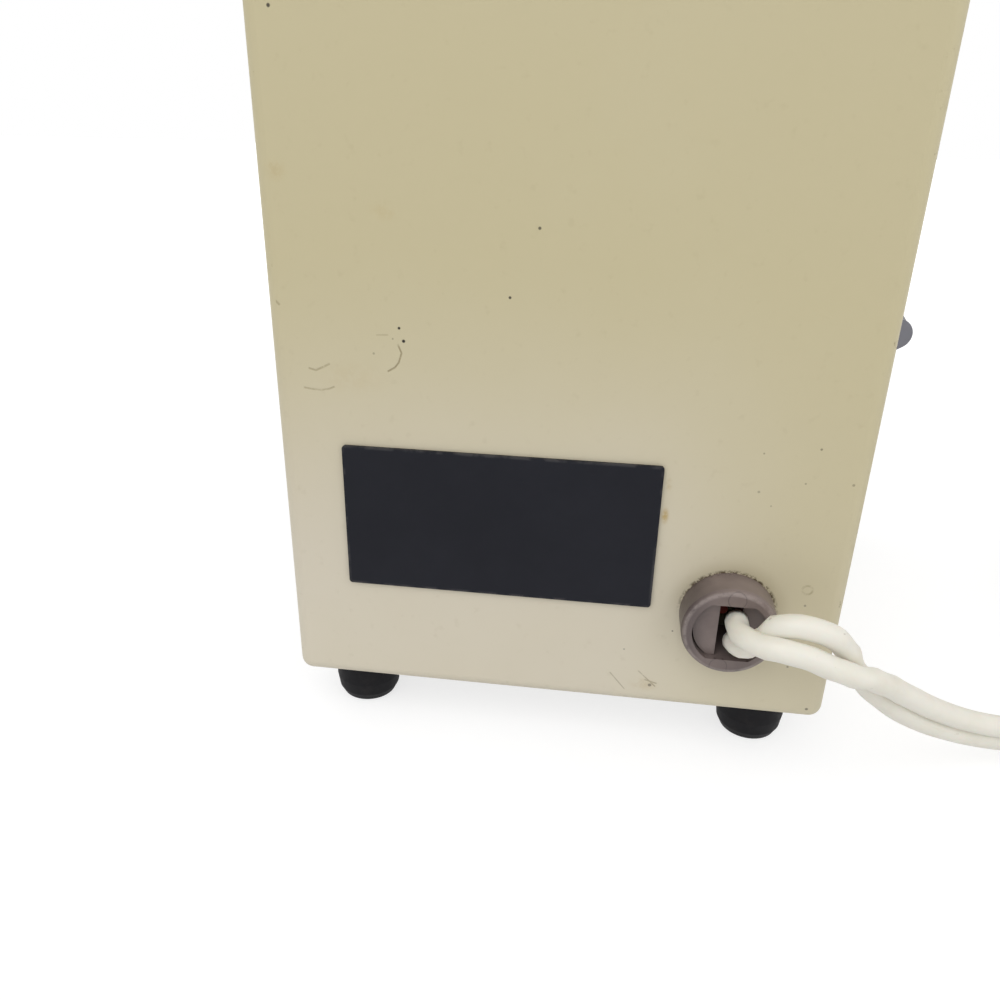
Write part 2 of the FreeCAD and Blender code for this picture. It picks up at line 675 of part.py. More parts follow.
def buildLamp():
    bulb = turned("LampBulb", [
        ("0", "-bulbRadius"),
        ("bulbRadius * 0.5", "-bulbRadius * 0.866"),
        ("bulbRadius * 0.866", "-bulbRadius * 0.5"),
        ("bulbRadius", "0"),
        ("bulbRadius * 0.866", "bulbRadius * 0.5"),
        ("capRadius - 0.4", "bulbRadius + 1.5"),
        ("capRadius", "bulbRadius + 1.5"),
        ("capRadius", "bulbRadius + 12"),
        ("1.6", "bulbRadius + 13.5"),
        ("0", "bulbRadius + 13.5"),
    ], "0", "filmY", "lampZ")
    keep("lamp_bulb", bulb)
    socketFront = "filmY + bulbRadius + 3"
    shell = rod("SocketShell", "capRadius + 1.4", socketFront, "socketBack", "0", "lampZ")
    plate = block("SocketPlate", ("-9", "9"), ("socketBack - 1.2", "socketBack"), ("floorZ", "lampZ + 8"))
    tab = block("SocketTab", ("-9", "9"), ("socketBack - 8", "socketBack"), ("floorZ", "floorZ + 1.2"))
    bore = rod("SocketBore", "capRadius + seatFit", socketFront + " - 1", "filmY + bulbRadius + 13.6",
               "0", "lampZ")
    keep("lamp_socket", cut("LampSocket", fuse("SocketWhole", [shell, plate, tab]), [bore]))
    dish = turned("Reflector", [
        ("0", "floorZ"),
        ("3", "floorZ"),
        ("3", "floorZ + 2"),
        ("reflectorRadius * 0.75", "floorZ + 2.6"),
        ("reflectorRadius", "floorZ + 4.4"),
        ("reflectorRadius", "floorZ + 5.2"),
        ("reflectorRadius * 0.75", "floorZ + 3.6"),
        ("3", "floorZ + 3"),
        ("0", "floorZ + 3"),
    ], "0", "filmY", "0", Rotation())
    keep("lamp_reflector", dish)
    lensLow, lensHigh = "deckZ - panelWall - 6", "deckZ - panelWall - 1"
    ring = turned("CondenserRing", [
        ("condenserRadius + seatFit", "deckZ - panelWall"),
        ("condenserRadius + seatFit", lensLow),
        ("condenserRadius - 1", lensLow),
        ("condenserRadius - 1", lensLow + " - 1"),
        ("condenserRadius + 1.5", lensLow + " - 1"),
        ("condenserRadius + 1.5", "deckZ - panelWall"),
    ], "0", "filmY", "0", Rotation())
    keep("condenser_ring", ring)
    lens = turned("CondenserLens", [
        ("0", lensLow),
        ("condenserRadius", lensLow),
        ("condenserRadius", lensLow + " + 1.6"),
        ("condenserRadius * 0.75", lensLow + " + 3.3"),
        ("condenserRadius * 0.4", lensLow + " + 4.5"),
        ("0", lensHigh),
    ], "0", "filmY", "0", Rotation())
    keep("condenser_lens", lens)


def buildSupply():
    half = "coreWide / 2"
    low, high = "floorZ", "floorZ + coreTall"
    yoke = "legWide / 2"
    core = block("CoreBlock", ("-" + half, half), ("coreFront", "coreBack"), (low, high))
    windows = []
    for side in (-1, 1):
        inner, outer = "%d * legWide / 2" % side, "%d * (%s - %s)" % (side, half, yoke)
        limits = (inner, outer) if side > 0 else (outer, inner)
        windows.append(block("CoreWindow", limits, ("coreFront - 1", "coreBack + 1"),
                             (low + " + " + yoke, high + " - " + yoke)))
    keep("transformer_core", cut("Core", core, windows))
    coil = block("CoilBlock", ("-%s + %s + 0.3" % (half, yoke), "%s - %s - 0.3" % (half, yoke)),
                 ("windingFront", "windingBack"), (low + " + yokeGap", high + " - yokeGap"))
    doc.recompute()
    rounded = roundEdges("CoilRounded", coil, "4",
                         lambda edge: edge.BoundBox.ZLength > 1)
    leg = block("CoilLeg", ("-legWide / 2 - 0.1", "legWide / 2 + 0.1"),
                ("coreFront - 0.1", "coreBack + 0.1"), (low, high))
    keep("transformer_coil", cut("Coil", rounded, [leg]))
    buildStrap(half, low, high)


def buildStrap(half, low, high):
    # a hoop over the core, screwed down through a foot on each side
    strapY = ("coreMiddle - strapWide / 2", "coreMiddle + strapWide / 2")
    hoop = block("StrapHoop", ("-(%s) - strapWall" % half, half + " + strapWall"), strapY,
                 (low, high + " + strapWall"))
    flange = block("StrapFeet", ("-(%s) - strapFoot" % half, half + " + strapFoot"), strapY,
                   (low, low + " + strapWall"))
    space = block("StrapSpace", ("-(%s) - 0.1" % half, half + " + 0.1"), ("windingFront", "windingBack"),
                  (low + " - 1", high + " + 0.1"))
    holes = [space]
    screws = []
    for side in (-1, 1):
        x = "%d * (%s + strapFoot * 0.6)" % (side, half)
        holes.append(rod("StrapHole", "1.6", low + " - 1", low + " + 3", x, "0", Rotation(), "coreMiddle"))
        screws.append(turned("StrapScrew", [
            ("0", low),
            ("1.5", low),
            ("1.5", low + " + strapWall"),
            ("2.8", low + " + strapWall"),
            ("2.4", low + " + strapWall + 1.8"),
            ("0", low + " + strapWall + 1.8"),
        ], x, "coreMiddle", "0", Rotation()))
    keep("transformer_strap", cut("Strap", fuse("StrapWhole", [hoop, flange]), holes))
    keep("strap_screws", group("StrapScrews", screws))


def buildSwitch():
    housing = block("SwitchHousing", ("switchX - 4.9", "switchX + 4.9"), ("frontY", "frontY + 11"),
                    ("switchZ - 6.4", "switchZ + 6.4"))
    rim = block("SwitchRim", ("switchX - 6.5", "switchX + 6.5"), ("frontY - 1.2", "frontY"),
                ("switchZ - 8", "switchZ + 8"))
    well = block("SwitchWell", ("switchX - 3.6", "switchX + 3.6"), ("frontY - 2", "frontY + 6"),
                 ("switchZ - 5.4", "switchZ + 5.4"))
    pivotHole = rod("SwitchPivotHole", "1 + runningFit", "switchX - 4.6", "switchX + 4.6", "0",
                    "switchZ", alongX, "frontY + 0.8")
    keep("switch_body", cut("Switch", fuse("SwitchWhole", [housing, rim]), [well, pivotHole]))
    rocker = newBody("Rocker")
    side = newSketch(rocker, "RockerSide", "YZ")
    drawPolygon(side, [
        ("frontY + 2.4", "switchZ - 3.6"),
        ("frontY - 0.4", "switchZ - 4.6"),
        ("frontY - 3", "switchZ - 4.4"),
        ("frontY - 1.6", "switchZ"),
        ("frontY - 3", "switchZ + 4.4"),
        ("frontY - 0.4", "switchZ + 4.6"),
        ("frontY + 2.4", "switchZ + 3.6"),
    ])
    pad(rocker, side, "6.6", midplane=True)
    place(rocker, "switchX", "0", "0")
    axle = rod("RockerAxle", "1", "switchX - 4.4", "switchX + 4.4", "0", "switchZ", alongX, "frontY + 0.8")
    keep("switch_rocker", fuse("SwitchRocker", [rocker, axle]))


# Film gate


def buildTrack():
    body = newBody("FilmTrack")
    slab = newSketch(body, "TrackOutline", "XY", "deckZ")
    drawRectangle(slab, ("-trackLong / 2", "trackLong / 2"),
                  ("filmY - trackWide / 2", "filmY + trackWide / 2"))
    pad(body, slab, "trackWall")
    groove = newSketch(body, "TrackGroove", "XY", "trackTop")
    drawRectangle(groove, ("-trackLong / 2 - 1", "trackLong / 2 + 1"),
                  ("filmY - filmWide / 2 - 0.1", "filmY + filmWide / 2 + 0.1"))
    pocket(body, groove, "grooveDeep")
    holes = newSketch(body, "TrackHoles", "XY", "trackTop")
    drawRectangle(holes, ("-2.3", "2.3"), ("filmY - 1.8", "filmY + 3.4"))
    drawRectangle(holes, ("-5.5", "5.5"), ("toothY - 0.9", "toothY + 0.9"))
    pocket(body, holes, "trackWall + 1")
    keep("film_track", body)

    pins = []
    for side, name in ((-1, "left_roller"), (1, "right_roller")):
        x = "%d * rollerSpan" % side
        bore = "shaftRadius + runningFit"
        roller = turned("Roller", [
            (bore, "filmY - 5.3"),
            ("rollerFlange", "filmY - 5.3"),
            ("rollerFlange", "filmY - 4.3"),
            ("rollerRadius", "filmY - 4.1"),
            ("rollerRadius", "filmY + 4.1"),
            ("rollerFlange", "filmY + 4.3"),
            ("rollerFlange", "filmY + 5.3"),
            (bore, "filmY + 5.3"),
        ], x, "0", "rollerZ")
        keep(name, roller)
        pins.append(turned("RollerPin", [
            ("0", "filmY - 7.2"),
            ("2.4", "filmY - 7.2"),
            ("3", "filmY - 6.6"),
            ("3", "filmY - 5.5"),
            ("shaftRadius", "filmY - 5.5"),
            ("shaftRadius", "filmY + 5.5"),
            ("3", "filmY + 5.5"),
            ("3", "slotBackY"),
            ("2", "slotBackY"),
            ("2", "slotBackY + panelWall + 0.6"),
            ("0", "slotBackY + panelWall + 0.6"),
        ], x, "0", "rollerZ"))
    keep("roller_pins", group("RollerPins", pins))


def buildHead():
    # hinge on the slot's back wall, then the head that lifts on it
    leaf = block("HingeLeaf", ("-11.5", "11.5"), ("slotBackY - 1.2", "slotBackY"),
                 ("deckZ + 3", "pivotZ + 5"))
    ears = []
    for side in (-1, 1):
        low, high = sorted((side * 8.5, side * 11.5))
        ears.append(block("HingeEar", (low, high), ("pivotY - 0.5", "slotBackY"),
                          ("pivotZ - 2.5", "pivotZ + 2.5")))
        ears.append(rod("HingeEarEnd", "2.5", low, high, "0", "pivotZ", alongX, "pivotY"))
    pinHole = rod("HingePinHole", "hingePinRadius + seatFit", "-20", "20", "0", "pivotZ", alongX, "pivotY")
    keep("gate_hinge_bracket", cut("HingeBracket", fuse("HingeWhole", [leaf] + ears), [pinHole]))
    pin = rod("HingePin", "hingePinRadius", "-lugSpan - 0.5", "lugSpan + 0.5", "0", "pivotZ", alongX,
              "pivotY")
    keep("gate_hinge_pin", pin)

    half = "headSide"
    low = "trackTop + 0.8"
    shell = block("HeadShell", ("-" + half, half), ("headFront", "headBack"), (low, "headTop"))
    front, top = number("headFront"), number("headTop")
    rounded = roundEdges("HeadRounded", shell, "2",
                         lambda edge: near(edge.BoundBox.YMax, front) or
                         (near(edge.BoundBox.ZMin, top) and edge.BoundBox.YLength > 1))
    lugs = []
    for side in (-1, 1):
        ends = ("12", "lugSpan") if side > 0 else ("-lugSpan", "-12")
        lugs.append(block("HeadLug", ends, ("headBack - 1", "pivotY"), ("pivotZ - 2.6", "pivotZ + 2.6")))
        lugs.append(rod("HeadLugEnd", "2.6", ends[0], ends[1], "0", "pivotZ", alongX, "pivotY"))
    cavity = block("HeadCavity", ("-10", "10"), ("headFront + 3.5", "headBack - 3"),
                   (low + " - 1", "headTop - 2.3"))
    shaftHole = rod("HeadShaftHole", "shaftRadius + runningFit", "headFront - 1", "headBack + 1",
                    "0", "rotorZ")
    barrelHole = rod("HeadBarrelHole", "lensRadius + runningFit", "headTop - 4", "headTop + 1", "0", "0",
                     Rotation(), "lensY")
    lugHole = rod("HeadLugHole", "hingePinRadius + runningFit", "-20", "20", "0", "pivotZ", alongX, "pivotY")
    keep("gate_head", cut("Head", fuse("HeadWhole", [rounded] + lugs),
                          [cavity, shaftHole, barrelHole, lugHole]))
    buildRotor()
    buildLens()


def buildRotor():
    # sprocket wheel with its shaft; the prism sits on the shaft beside it
    teeth = int(number("sprocketTeeth"))
    rim = number("pitchRadius") - 0.15
    tip = number("pitchRadius + toothTall")
    wheel = Part.makeCylinder(rim, 1, Vector(0, 0, number("toothY - 0.5")))
    for tooth in range(teeth):
        angle = math.radians(360 / teeth * (tooth + 0.5) - 90)
        outward = Vector(math.cos(angle), math.sin(angle), 0)
        sideways = Vector(-outward.y, outward.x, 0)
        corners = [outward * (rim - 0.5) - sideways * 0.55,
                   outward * (rim - 0.5) + sideways * 0.55,
                   outward * tip + sideways * 0.3,
                   outward * tip - sideways * 0.3]
        lift = Vector(0, 0, number("toothY - 0.35"))
        face = Part.Face(Part.makePolygon([c + lift for c in corners + corners[:1]]))
        wheel = wheel.fuse(face.extrude(Vector(0, 0, 0.7)))
    shaft = Part.makeCylinder(number("shaftRadius"), number("headBack - headFront + 8"),
                              Vector(0, 0, number("headFront - 8")))
    centre = Vector(0, 0, number("rotorZ"))
    # local z runs along +Y, so local y points down
    spun = solidFeature("SprocketShape", wheel.fuse(shaft).removeSplitter(), Placement(centre, alongY))
    keep("film_sprocket", spun)
    prism = doc.addObject("Part::Prism", "ImagePrism")
    bind(prism, "Polygon", "sprocketTeeth")
    bind(prism, "Circumradius", "prismRadius")
    prism.Height = 5
    place(prism, "0", "toothY + 0.6", "rotorZ", alongY)
    bore = rod("PrismBore", "shaftRadius + seatFit", "toothY", "toothY + 7", "0", "rotorZ")
    keep("image_prism", cut("Prism", prism, [bore]))
    knob = turned("AdvanceKnob", [
        ("shaftRadius + seatFit", "headFront - 7"),
        ("shaftRadius + seatFit", "headFront - 0.4"),
        ("knobRadius * 0.6", "headFront - 0.4"),
        ("knobRadius * 0.6", "headFront - 1.6"),
        ("knobRadius", "headFront - 2"),
        ("knobRadius", "headFront - 8.2"),
        ("knobRadius - 0.9", "headFront - 9"),
        ("0", "headFront - 9"),
        ("0", "headFront - 8.1"),
        ("shaftRadius + seatFit", "headFront - 8.1"),
    ], "0", "0", "rotorZ")
    keep("advance_knob", knob)


def buildLens():
    # the barrel slides in the head to focus; the ring on it is the grip
    low, high = "headTop - 1.6", "headTop + 6"
    bore = "lensRadius - 1.2"
    barrel = turned("LensBarrel", [
        (bore + " - 0.8", low),
        ("lensRadius", low),
        ("lensRadius", high),
        (bore, high),
        (bore, low + " + 2"),
        (bore + " - 0.8", low + " + 2"),
    ], "0", "lensY", "0", Rotation())
    keep("lens_barrel", barrel)
    glass = turned("LensGlass", [
        ("0", low + " + 2"),
        (bore + " - seatFit", low + " + 2"),
        (bore + " - seatFit", high + " - 1.6"),
        ("(%s) * 0.6" % bore, high + " - 1"),
        ("0", high + " - 0.7"),
    ], "0", "lensY", "0", Rotation())
    keep("lens_glass", glass)
    ring = turned("FocusRing", [
        ("lensRadius + seatFit", "headTop + 1"),
        ("focusRadius - 0.6", "headTop + 1"),
        ("focusRadius", "headTop + 1.5"),
        ("focusRadius", "headTop + 4.5"),
        ("focusRadius - 0.6", "headTop + 5"),
        ("lensRadius + seatFit", "headTop + 5"),
    ], "0", "lensY", "0", Rotation())
    keep("focus_ring", ring)


def buildMarker():
    # a bridge over the film; pressing the button brings its punch down to the film
    bridge = block("MarkerBridge", ("markerX - markerHalf", "markerX + markerHalf"), ("frontY + 0.5", "filmY + 8"),
                   ("deckZ", "deckZ + 10.5"))
    tunnel = block("MarkerTunnel", ("markerX - markerHalf - 1", "markerX + markerHalf + 1"),
                   ("filmY - filmWide / 2 - 0.6", "filmY + filmWide / 2 + 0.6"), ("deckZ - 1", "deckZ + 4"))
    narrow = rod("MarkerBore", "2 + runningFit", "deckZ + 3", "deckZ + 7", "markerX", "0",
                 Rotation(), "filmY")
    wide = rod("MarkerWell", "4.2", "deckZ + 6", "deckZ + 11", "markerX", "0", Rotation(), "filmY")
    keep("marker_guide", cut("MarkerGuide", bridge, [tunnel, narrow, wide]))
    button = turned("MarkerButton", [
        ("0", "deckZ + 3.1"),
        ("3", "deckZ + 3.1"),
        ("3", "deckZ + 3.9"),
        ("2", "deckZ + 3.9"),
        ("2", "deckZ + 13.2"),
        ("4.6", "deckZ + 13.2"),
        ("4.6", "deckZ + 15.6"),
        ("3.8", "deckZ + 16.8"),
        ("0", "deckZ + 16.8"),
    ], "markerX", "filmY", "0", Rotation())
    keep("marker_button", button)
    wireRadius, coilRadius, rise, turns = 0.35, 3.1, 6.4, 6
    helix = Part.makeHelix(rise / turns, rise, coilRadius)
    wire = Part.Wire(Part.makeCircle(wireRadius, Vector(coilRadius, 0, 0), Vector(0, 1, 0)))
    coil = Part.Wire(helix.Edges).makePipeShell([wire], True, True)
    where = Vector(number("markerX"), number("filmY"), number("deckZ + 6") + wireRadius + 0.05)
    keep("marker_spring", solidFeature("MarkerSpring", coil, Placement(where, Rotation())))


# Back of the casing


def buildBack():
    label = block("Nameplate",
                  ("plateLabelX - plateLabelWide / 2", "plateLabelX + plateLabelWide / 2"),
                  ("backY", "backY + labelWall"),
                  ("bottomZ + plateLabelRise - plateLabelTall / 2",
                   "bottomZ + plateLabelRise + plateLabelTall / 2"))
    keep("nameplate", roundEdges("NameplateRounded", label, "0.6",
                                 lambda edge: edge.BoundBox.YLength > 0.1))
    collar = turned("ReliefCollar", [
        ("0", "backY - 5"),
        ("reliefNeck + 0.5", "backY - 5"),
        ("reliefNeck + 0.5", "backY - sheetWall - 0.1"),
        ("reliefNeck", "backY - sheetWall - 0.1"),
        ("reliefNeck", "backY"),
        ("reliefRadius", "backY"),
        ("reliefRadius", "backY + reliefDeep - 1"),
        ("reliefRadius - 0.3", "backY + reliefDeep - 0.3"),
        ("reliefRadius - 1", "backY + reliefDeep"),
        ("0", "backY + reliefDeep"),
    ], "-reliefX", "0", "reliefZ")
    bore = rod("CavityRound", "cavityRadius", "backY - 6", "backY + reliefDeep + 1", "-reliefX", "reliefZ")
    flats = block("CavityFlats", ("-reliefX - 8", "-reliefX + 8"),
                  ("backY - 6", "backY + reliefDeep + 1"),
                  ("reliefZ - cavityFlat", "reliefZ + cavityFlat"))
    cavity = doc.addObject("Part::MultiCommon", "ReliefCavity")
    cavity.Shapes = [bore, flats]
    keep("strain_relief", cut("StrainRelief", collar, [cavity]))
    wedges = []
    for side, front in ((1, "backY + reliefDeep - 1.3"), (-1, "backY + reliefDeep - 2.6")):
        body = rod("WedgeRound", "cavityRadius - 0.25", "backY - 4.5", front, "-reliefX", "reliefZ")
        inner, outer = "-reliefX + %d * cordGap / 2" % side, "-reliefX + %d * 8" % side
        limits = (inner, outer) if side > 0 else (outer, inner)
        keepBox = block("WedgeBox", limits, ("backY - 5", "backY + reliefDeep"),
                        ("reliefZ - cavityFlat + 0.1", "reliefZ + cavityFlat - 0.1"))
        wedge = doc.addObject("Part::MultiCommon", "Wedge")
        wedge.Shapes = [body, keepBox]
        wedges.append(wedge)
    keep("strain_relief_wedges", group("Wedges", wedges))


# Cord: lead from the strain relief, put-away coil, plug


def tangentArc(start, corner, end):
    # the arc from start to end that touches both lines through the corner
    chordMiddle = (start + end) * 0.5
    toCorner = corner - chordMiddle
    halfChord = (end - start).Length / 2
    halfTurn = math.acos(halfChord / (corner - start).Length)
    sagitta = halfChord * math.tan(halfTurn / 2)
    return Part.Arc(start, chordMiddle + toCorner * (sagitta / toCorner.Length), end)


def tubeAlong(edges, radius):
    path = Part.Wire(edges)
    start = path.Edges[0]
    point = start.valueAt(start.FirstParameter)
    heading = start.tangentAt(start.FirstParameter)
    section = Part.Wire(Part.makeCircle(radius, point, heading))
    tube = path.makePipeShell([section], True, False)
    expected = math.pi * radius ** 2 * path.Length
    print("tube length %.1f mm, volume / expected %.4f" % (path.Length, tube.Volume / expected))
    return tube


def softRoute(points):
    # straight runs joined by arcs as large as the runs allow
    edges = []
    radii = []
    last = points[0]
    for before, corner, after in zip(points, points[1:], points[2:]):
        shorter = min((corner - before).Length, (after - corner).Length)
        reach = 0.45 * shorter
        inward = (before - corner).normalize() * reach + corner
        outward = (after - corner).normalize() * reach + corner
        turn = (corner - before).getAngle(after - corner)
        radii.append(reach / math.tan(turn / 2))
        edges.append(Part.LineSegment(last, inward).toShape())
        edges.append(tangentArc(inward, corner, outward).toShape())
        last = outward
    edges.append(Part.LineSegment(last, points[-1]).toShape())
    print("lead radii", ", ".join("%.0f" % r for r in radii))
    return edges


def leadPoints():
    # out of the strain relief, sideways past the casing's corner, down to the table
    table = number("cordWide / 2")
    exitPoint = Vector(-number("reliefX"), number("backY"), number("reliefZ"))
    inTheAir = [
        (0, 5.3, 0),
        (0, 9.5, 0),
        (-1.9, 13.2, 2),
        (-5.8, 15.3, 4.4),
        (-11, 15, 5.2),
        (-17.2, 12.8, 1.8),
        (-24, 9.6, -4.6),
        (-31.6, 5.8, -11.8),
        (-40.6, 1.2, -17.8),
        (-50.6, -3, -22.1),
        (-62.2, -7, -25.2),
    ]
    onTheTable = [
        (-105, 45.2, table + 0.15),
        (-128, 43.3, table),
        (coilX + 20, 43, table),
        (coilX, 43, table),
    ]
    return [exitPoint + Vector(*step) for step in inTheAir] + [Vector(*point) for point in onTheTable]


# The spare length is wound up beside the casing
coilX = -172
coilOut = 56
loopPitch = 9.6
layerStep = 8.8
halfTurns = 6
tailLong = 42


def buildCord():
    radius = number("cordWide") / 2
    lead = tubeAlong(softRoute(leadPoints()), radius)
    keep("power_cord_lead", solidFeature("CordLead", lead, Placement()))

    start = leadPoints()[-1]
    centre = start - Vector(0, coilOut, 0)
    # points where the coil crosses its middle line, spiralling in, then out one layer up
    crossings = [start]
    reach = coilOut
    for turn in range(1, 2 * halfTurns + 1):
        low = turn <= halfTurns
        if low:
            reach -= loopPitch / 2
        elif turn > halfTurns + 1:
            reach += loopPitch / 2
        side = 1 if turn % 2 == 0 else -1
        lift = 0 if low else layerStep
        crossings.append(centre + Vector(0, side * reach, lift))
    heading = Vector(-1, 0, 0)
    edges = []
    for here, there in zip(crossings, crossings[1:]):
        reachAcross = (there - here).Length / 2
        middle = (here + there) * 0.5 + heading * reachAcross
        edges.append(tangentArc(here, here + heading * reachAcross, middle).toShape())
        heading = heading * -1
        edges.append(tangentArc(middle, there - heading * reachAcross, there).toShape())
    end = crossings[-1] + heading * tailLong
    edges.append(Part.LineSegment(crossings[-1], end).toShape())
    coil = tubeAlong(edges, radius)
    path = Part.Wire(edges)
    print("coil least gap to itself %.2f mm" % leastGap(path, 2 * radius))
    keep("power_cord_coil", solidFeature("CordCoil", coil, Placement()))
    buildPlug(end)


def leastGap(path, width):
    # distance between points of the path that are more than three widths apart along it
    step = 2.0
    points = path.discretize(Distance=step)
    apart = int(3 * width / step)
    least = 1e9
    for i, here in enumerate(points):
        for there in points[i + apart:]:
            least = min(least, (there - here).Length)
    return least - width


def buildPlug(end):
    # moulded two-blade plug standing on its edge; its nose points away from the coil
    half = number("plugHalf")
    long = number("plugLong")
    body = newBody("Plug")
    plan = newSketch(body, "PlugPlan", "XY")
    swell = [(0, 0.63), (0.19, 0.68), (0.37, 0.84), (0.74, 1), (1, 1)]
    edge = [(along * long, share * half) for along, share in swell]
    drawPolygon(plan, edge + [(along, -across) for along, across in reversed(edge)])
    pad(body, plan, str(2 * end.z), midplane=True)
    place(body, end.x, end.y, end.z, Rotation(Vector(0, 0, 1), 180))
    keep("mains_plug", body)
    blades = []
    nose = "%f - plugLong" % end.x
    for side in (-1, 1):
        middle = "%f + %d * bladePitch / 2" % (end.z, side)
        blades.append(block("PlugBlade", (nose + " - bladeLong", nose),
                            ("%f - bladeWall / 2" % end.y, "%f + bladeWall / 2" % end.y),
                            (middle + " - bladeWide / 2", middle + " + bladeWide / 2")))
    keep("plug_blades", group("PlugBlades", blades))


# Rewind arms


def gearFace(teeth, phase):
    # involute outline, 25 degree pressure angle, with backlash; phase aims one tooth
    module = number("gearModule")
    pitch = module * teeth / 2
    pressure = math.radians(25)
    base = pitch * math.cos(pressure)
    tip = pitch + 0.9 * module
    root = pitch - 1.2 * module
    backlash = 0.12
    halfTooth = math.pi / (2 * teeth) - backlash / (2 * pitch)

    def involute(angle):
        return math.tan(angle) - angle

    def at(radius, angle):
        return Vector(radius * math.cos(angle), radius * math.sin(angle), 0)

    flankStart = max(base, root)
    radii = [flankStart + (tip - flankStart) * i / 3 for i in range(4)]
    turns = [halfTooth + involute(pressure) - involute(math.acos(min(1, base / r))) for r in radii]
    edges = []
    for tooth in range(teeth):
        middle = phase + 2 * math.pi * tooth / teeth
        rising = [at(r, middle - t) for r, t in zip(radii, turns)]
        falling = [at(r, middle + t) for r, t in zip(radii, turns)][::-1]
        corners = [at(root, middle - turns[0])] + rising + falling + [at(root, middle + turns[0])]
        nextRoot = at(root, middle + 2 * math.pi / teeth - turns[0])
        corners.append(nextRoot)
        for here, there in zip(corners, corners[1:]):
            if (there - here).Length > 1e-6:
                edges.append(Part.LineSegment(here, there).toShape())
    return Part.Face(Part.Wire(edges))


def buildArm(side, name):
    x = "%d * armX" % side
    title = name.capitalize()
    gearEnd = "gearTip + gearSide"
    arm = newBody(title + "Arm")
    upper = newSketch(arm, title + "ArmUpper", "XZ", "-armBack")
    drawCapsule(upper, (x, "crankZ", "armPivotRadius + 2"), (x, "armPivotZ", "armPivotRadius"))
    pad(arm, upper, "armWall")
    lower = newSketch(arm, title + "ArmLower", "XZ", "-armBack")
    drawCapsule(lower, (x, "spindleZ", "armTipRadius"), (x, "crankZ", gearEnd + " + coverWall"))
    pad(arm, lower, "armWall")
    holes = newSketch(arm, title + "ArmHoles", "XZ", "-armBack")
    drawCircle(holes, x, "armPivotZ", "pivotPinRadius + runningFit")
    drawCircle(holes, x, "crankZ", "crankShaftRadius + runningFit")
    drawCircle(holes, x, "spindleZ", "crankShaftRadius + runningFit")
    pocket(arm, holes, "armWall", backward=True)
    keep(name + "_arm", arm)

    cover = newBody(title + "Cover")
    outer = newSketch(cover, title + "CoverOuter", "XZ", "-armFront")
    drawCapsule(outer, (x, "spindleZ", "armTipRadius"), (x, "crankZ", gearEnd + " + coverWall"))
    pad(cover, outer, "armFront - coverFront")
    inner = newSketch(cover, title + "CoverInner", "XZ", "-armFront")
    drawCapsule(inner, (x, "spindleZ", "armTipRadius - coverWall"), (x, "crankZ", gearEnd))
    pocket(cover, inner, "armFront - coverFront - coverWall", backward=True)
    bores = newSketch(cover, title + "CoverBores", "XZ", "-armFront")
    drawCircle(bores, x, "crankZ", "crankShaftRadius + runningFit")
    drawCircle(bores, x, "spindleZ", "shaftRadius + runningFit")
    pocket(cover, bores, "armFront - coverFront + 1", backward=True)
    keep(name + "_gear_cover", cover)
    buildGears(title, name, x)
    buildCrank(side, title, name, x)


def buildGears(title, name, x):
    # local x is across, local y is up and local z points at the user
    wide = number("gearWide")
    armRear = number("gearBack - armBack")
    gear = gearFace(int(number("gearTeeth")), -math.pi / 2).extrude(Vector(0, 0, wide))
    shaftLong = number("armBack - crankFront") - 0.3
    shaft = Part.makeCylinder(number("crankShaftRadius"), shaftLong, Vector(0, 0, armRear + 0.3))
    where = Vector(number(x), number("gearBack"), number("crankZ"))
    keep(name + "_crank_gear",
         solidFeature(title + "CrankGear", gear.fuse(shaft).removeSplitter(), Placement(where, upright)))

    teeth = int(number("pinionTeeth"))
    spindle = gearFace(teeth, math.pi / 2 + math.pi / teeth).extrude(Vector(0, 0, wide))
    hubFront = armRear - 0.3
    hubBack = number("gearBack - filmY + reelWide / 2")
    pinBack = number("gearBack - filmY - reelWide / 2") - 1.3
    steps = [
        Part.makeCylinder(number("shaftRadius"), number("gearBack - coverFront"), Vector(0, 0, 0)),
        Part.makeCylinder(number("crankShaftRadius"), 0.2 - hubFront, Vector(0, 0, hubFront - 0.1)),
        Part.makeCylinder(number("spindleHub"), hubFront - hubBack, Vector(0, 0, hubBack)),
        Part.makeCylinder(number("spindleRadius"), hubBack - pinBack, Vector(0, 0, pinBack)),
    ]
    where = Vector(number(x), number("gearBack"), number("spindleZ"))
    spindle = spindle.multiFuse(steps).removeSplitter()
    keep(name + "_spindle", solidFeature(title + "Spindle", spindle, Placement(where, upright)))


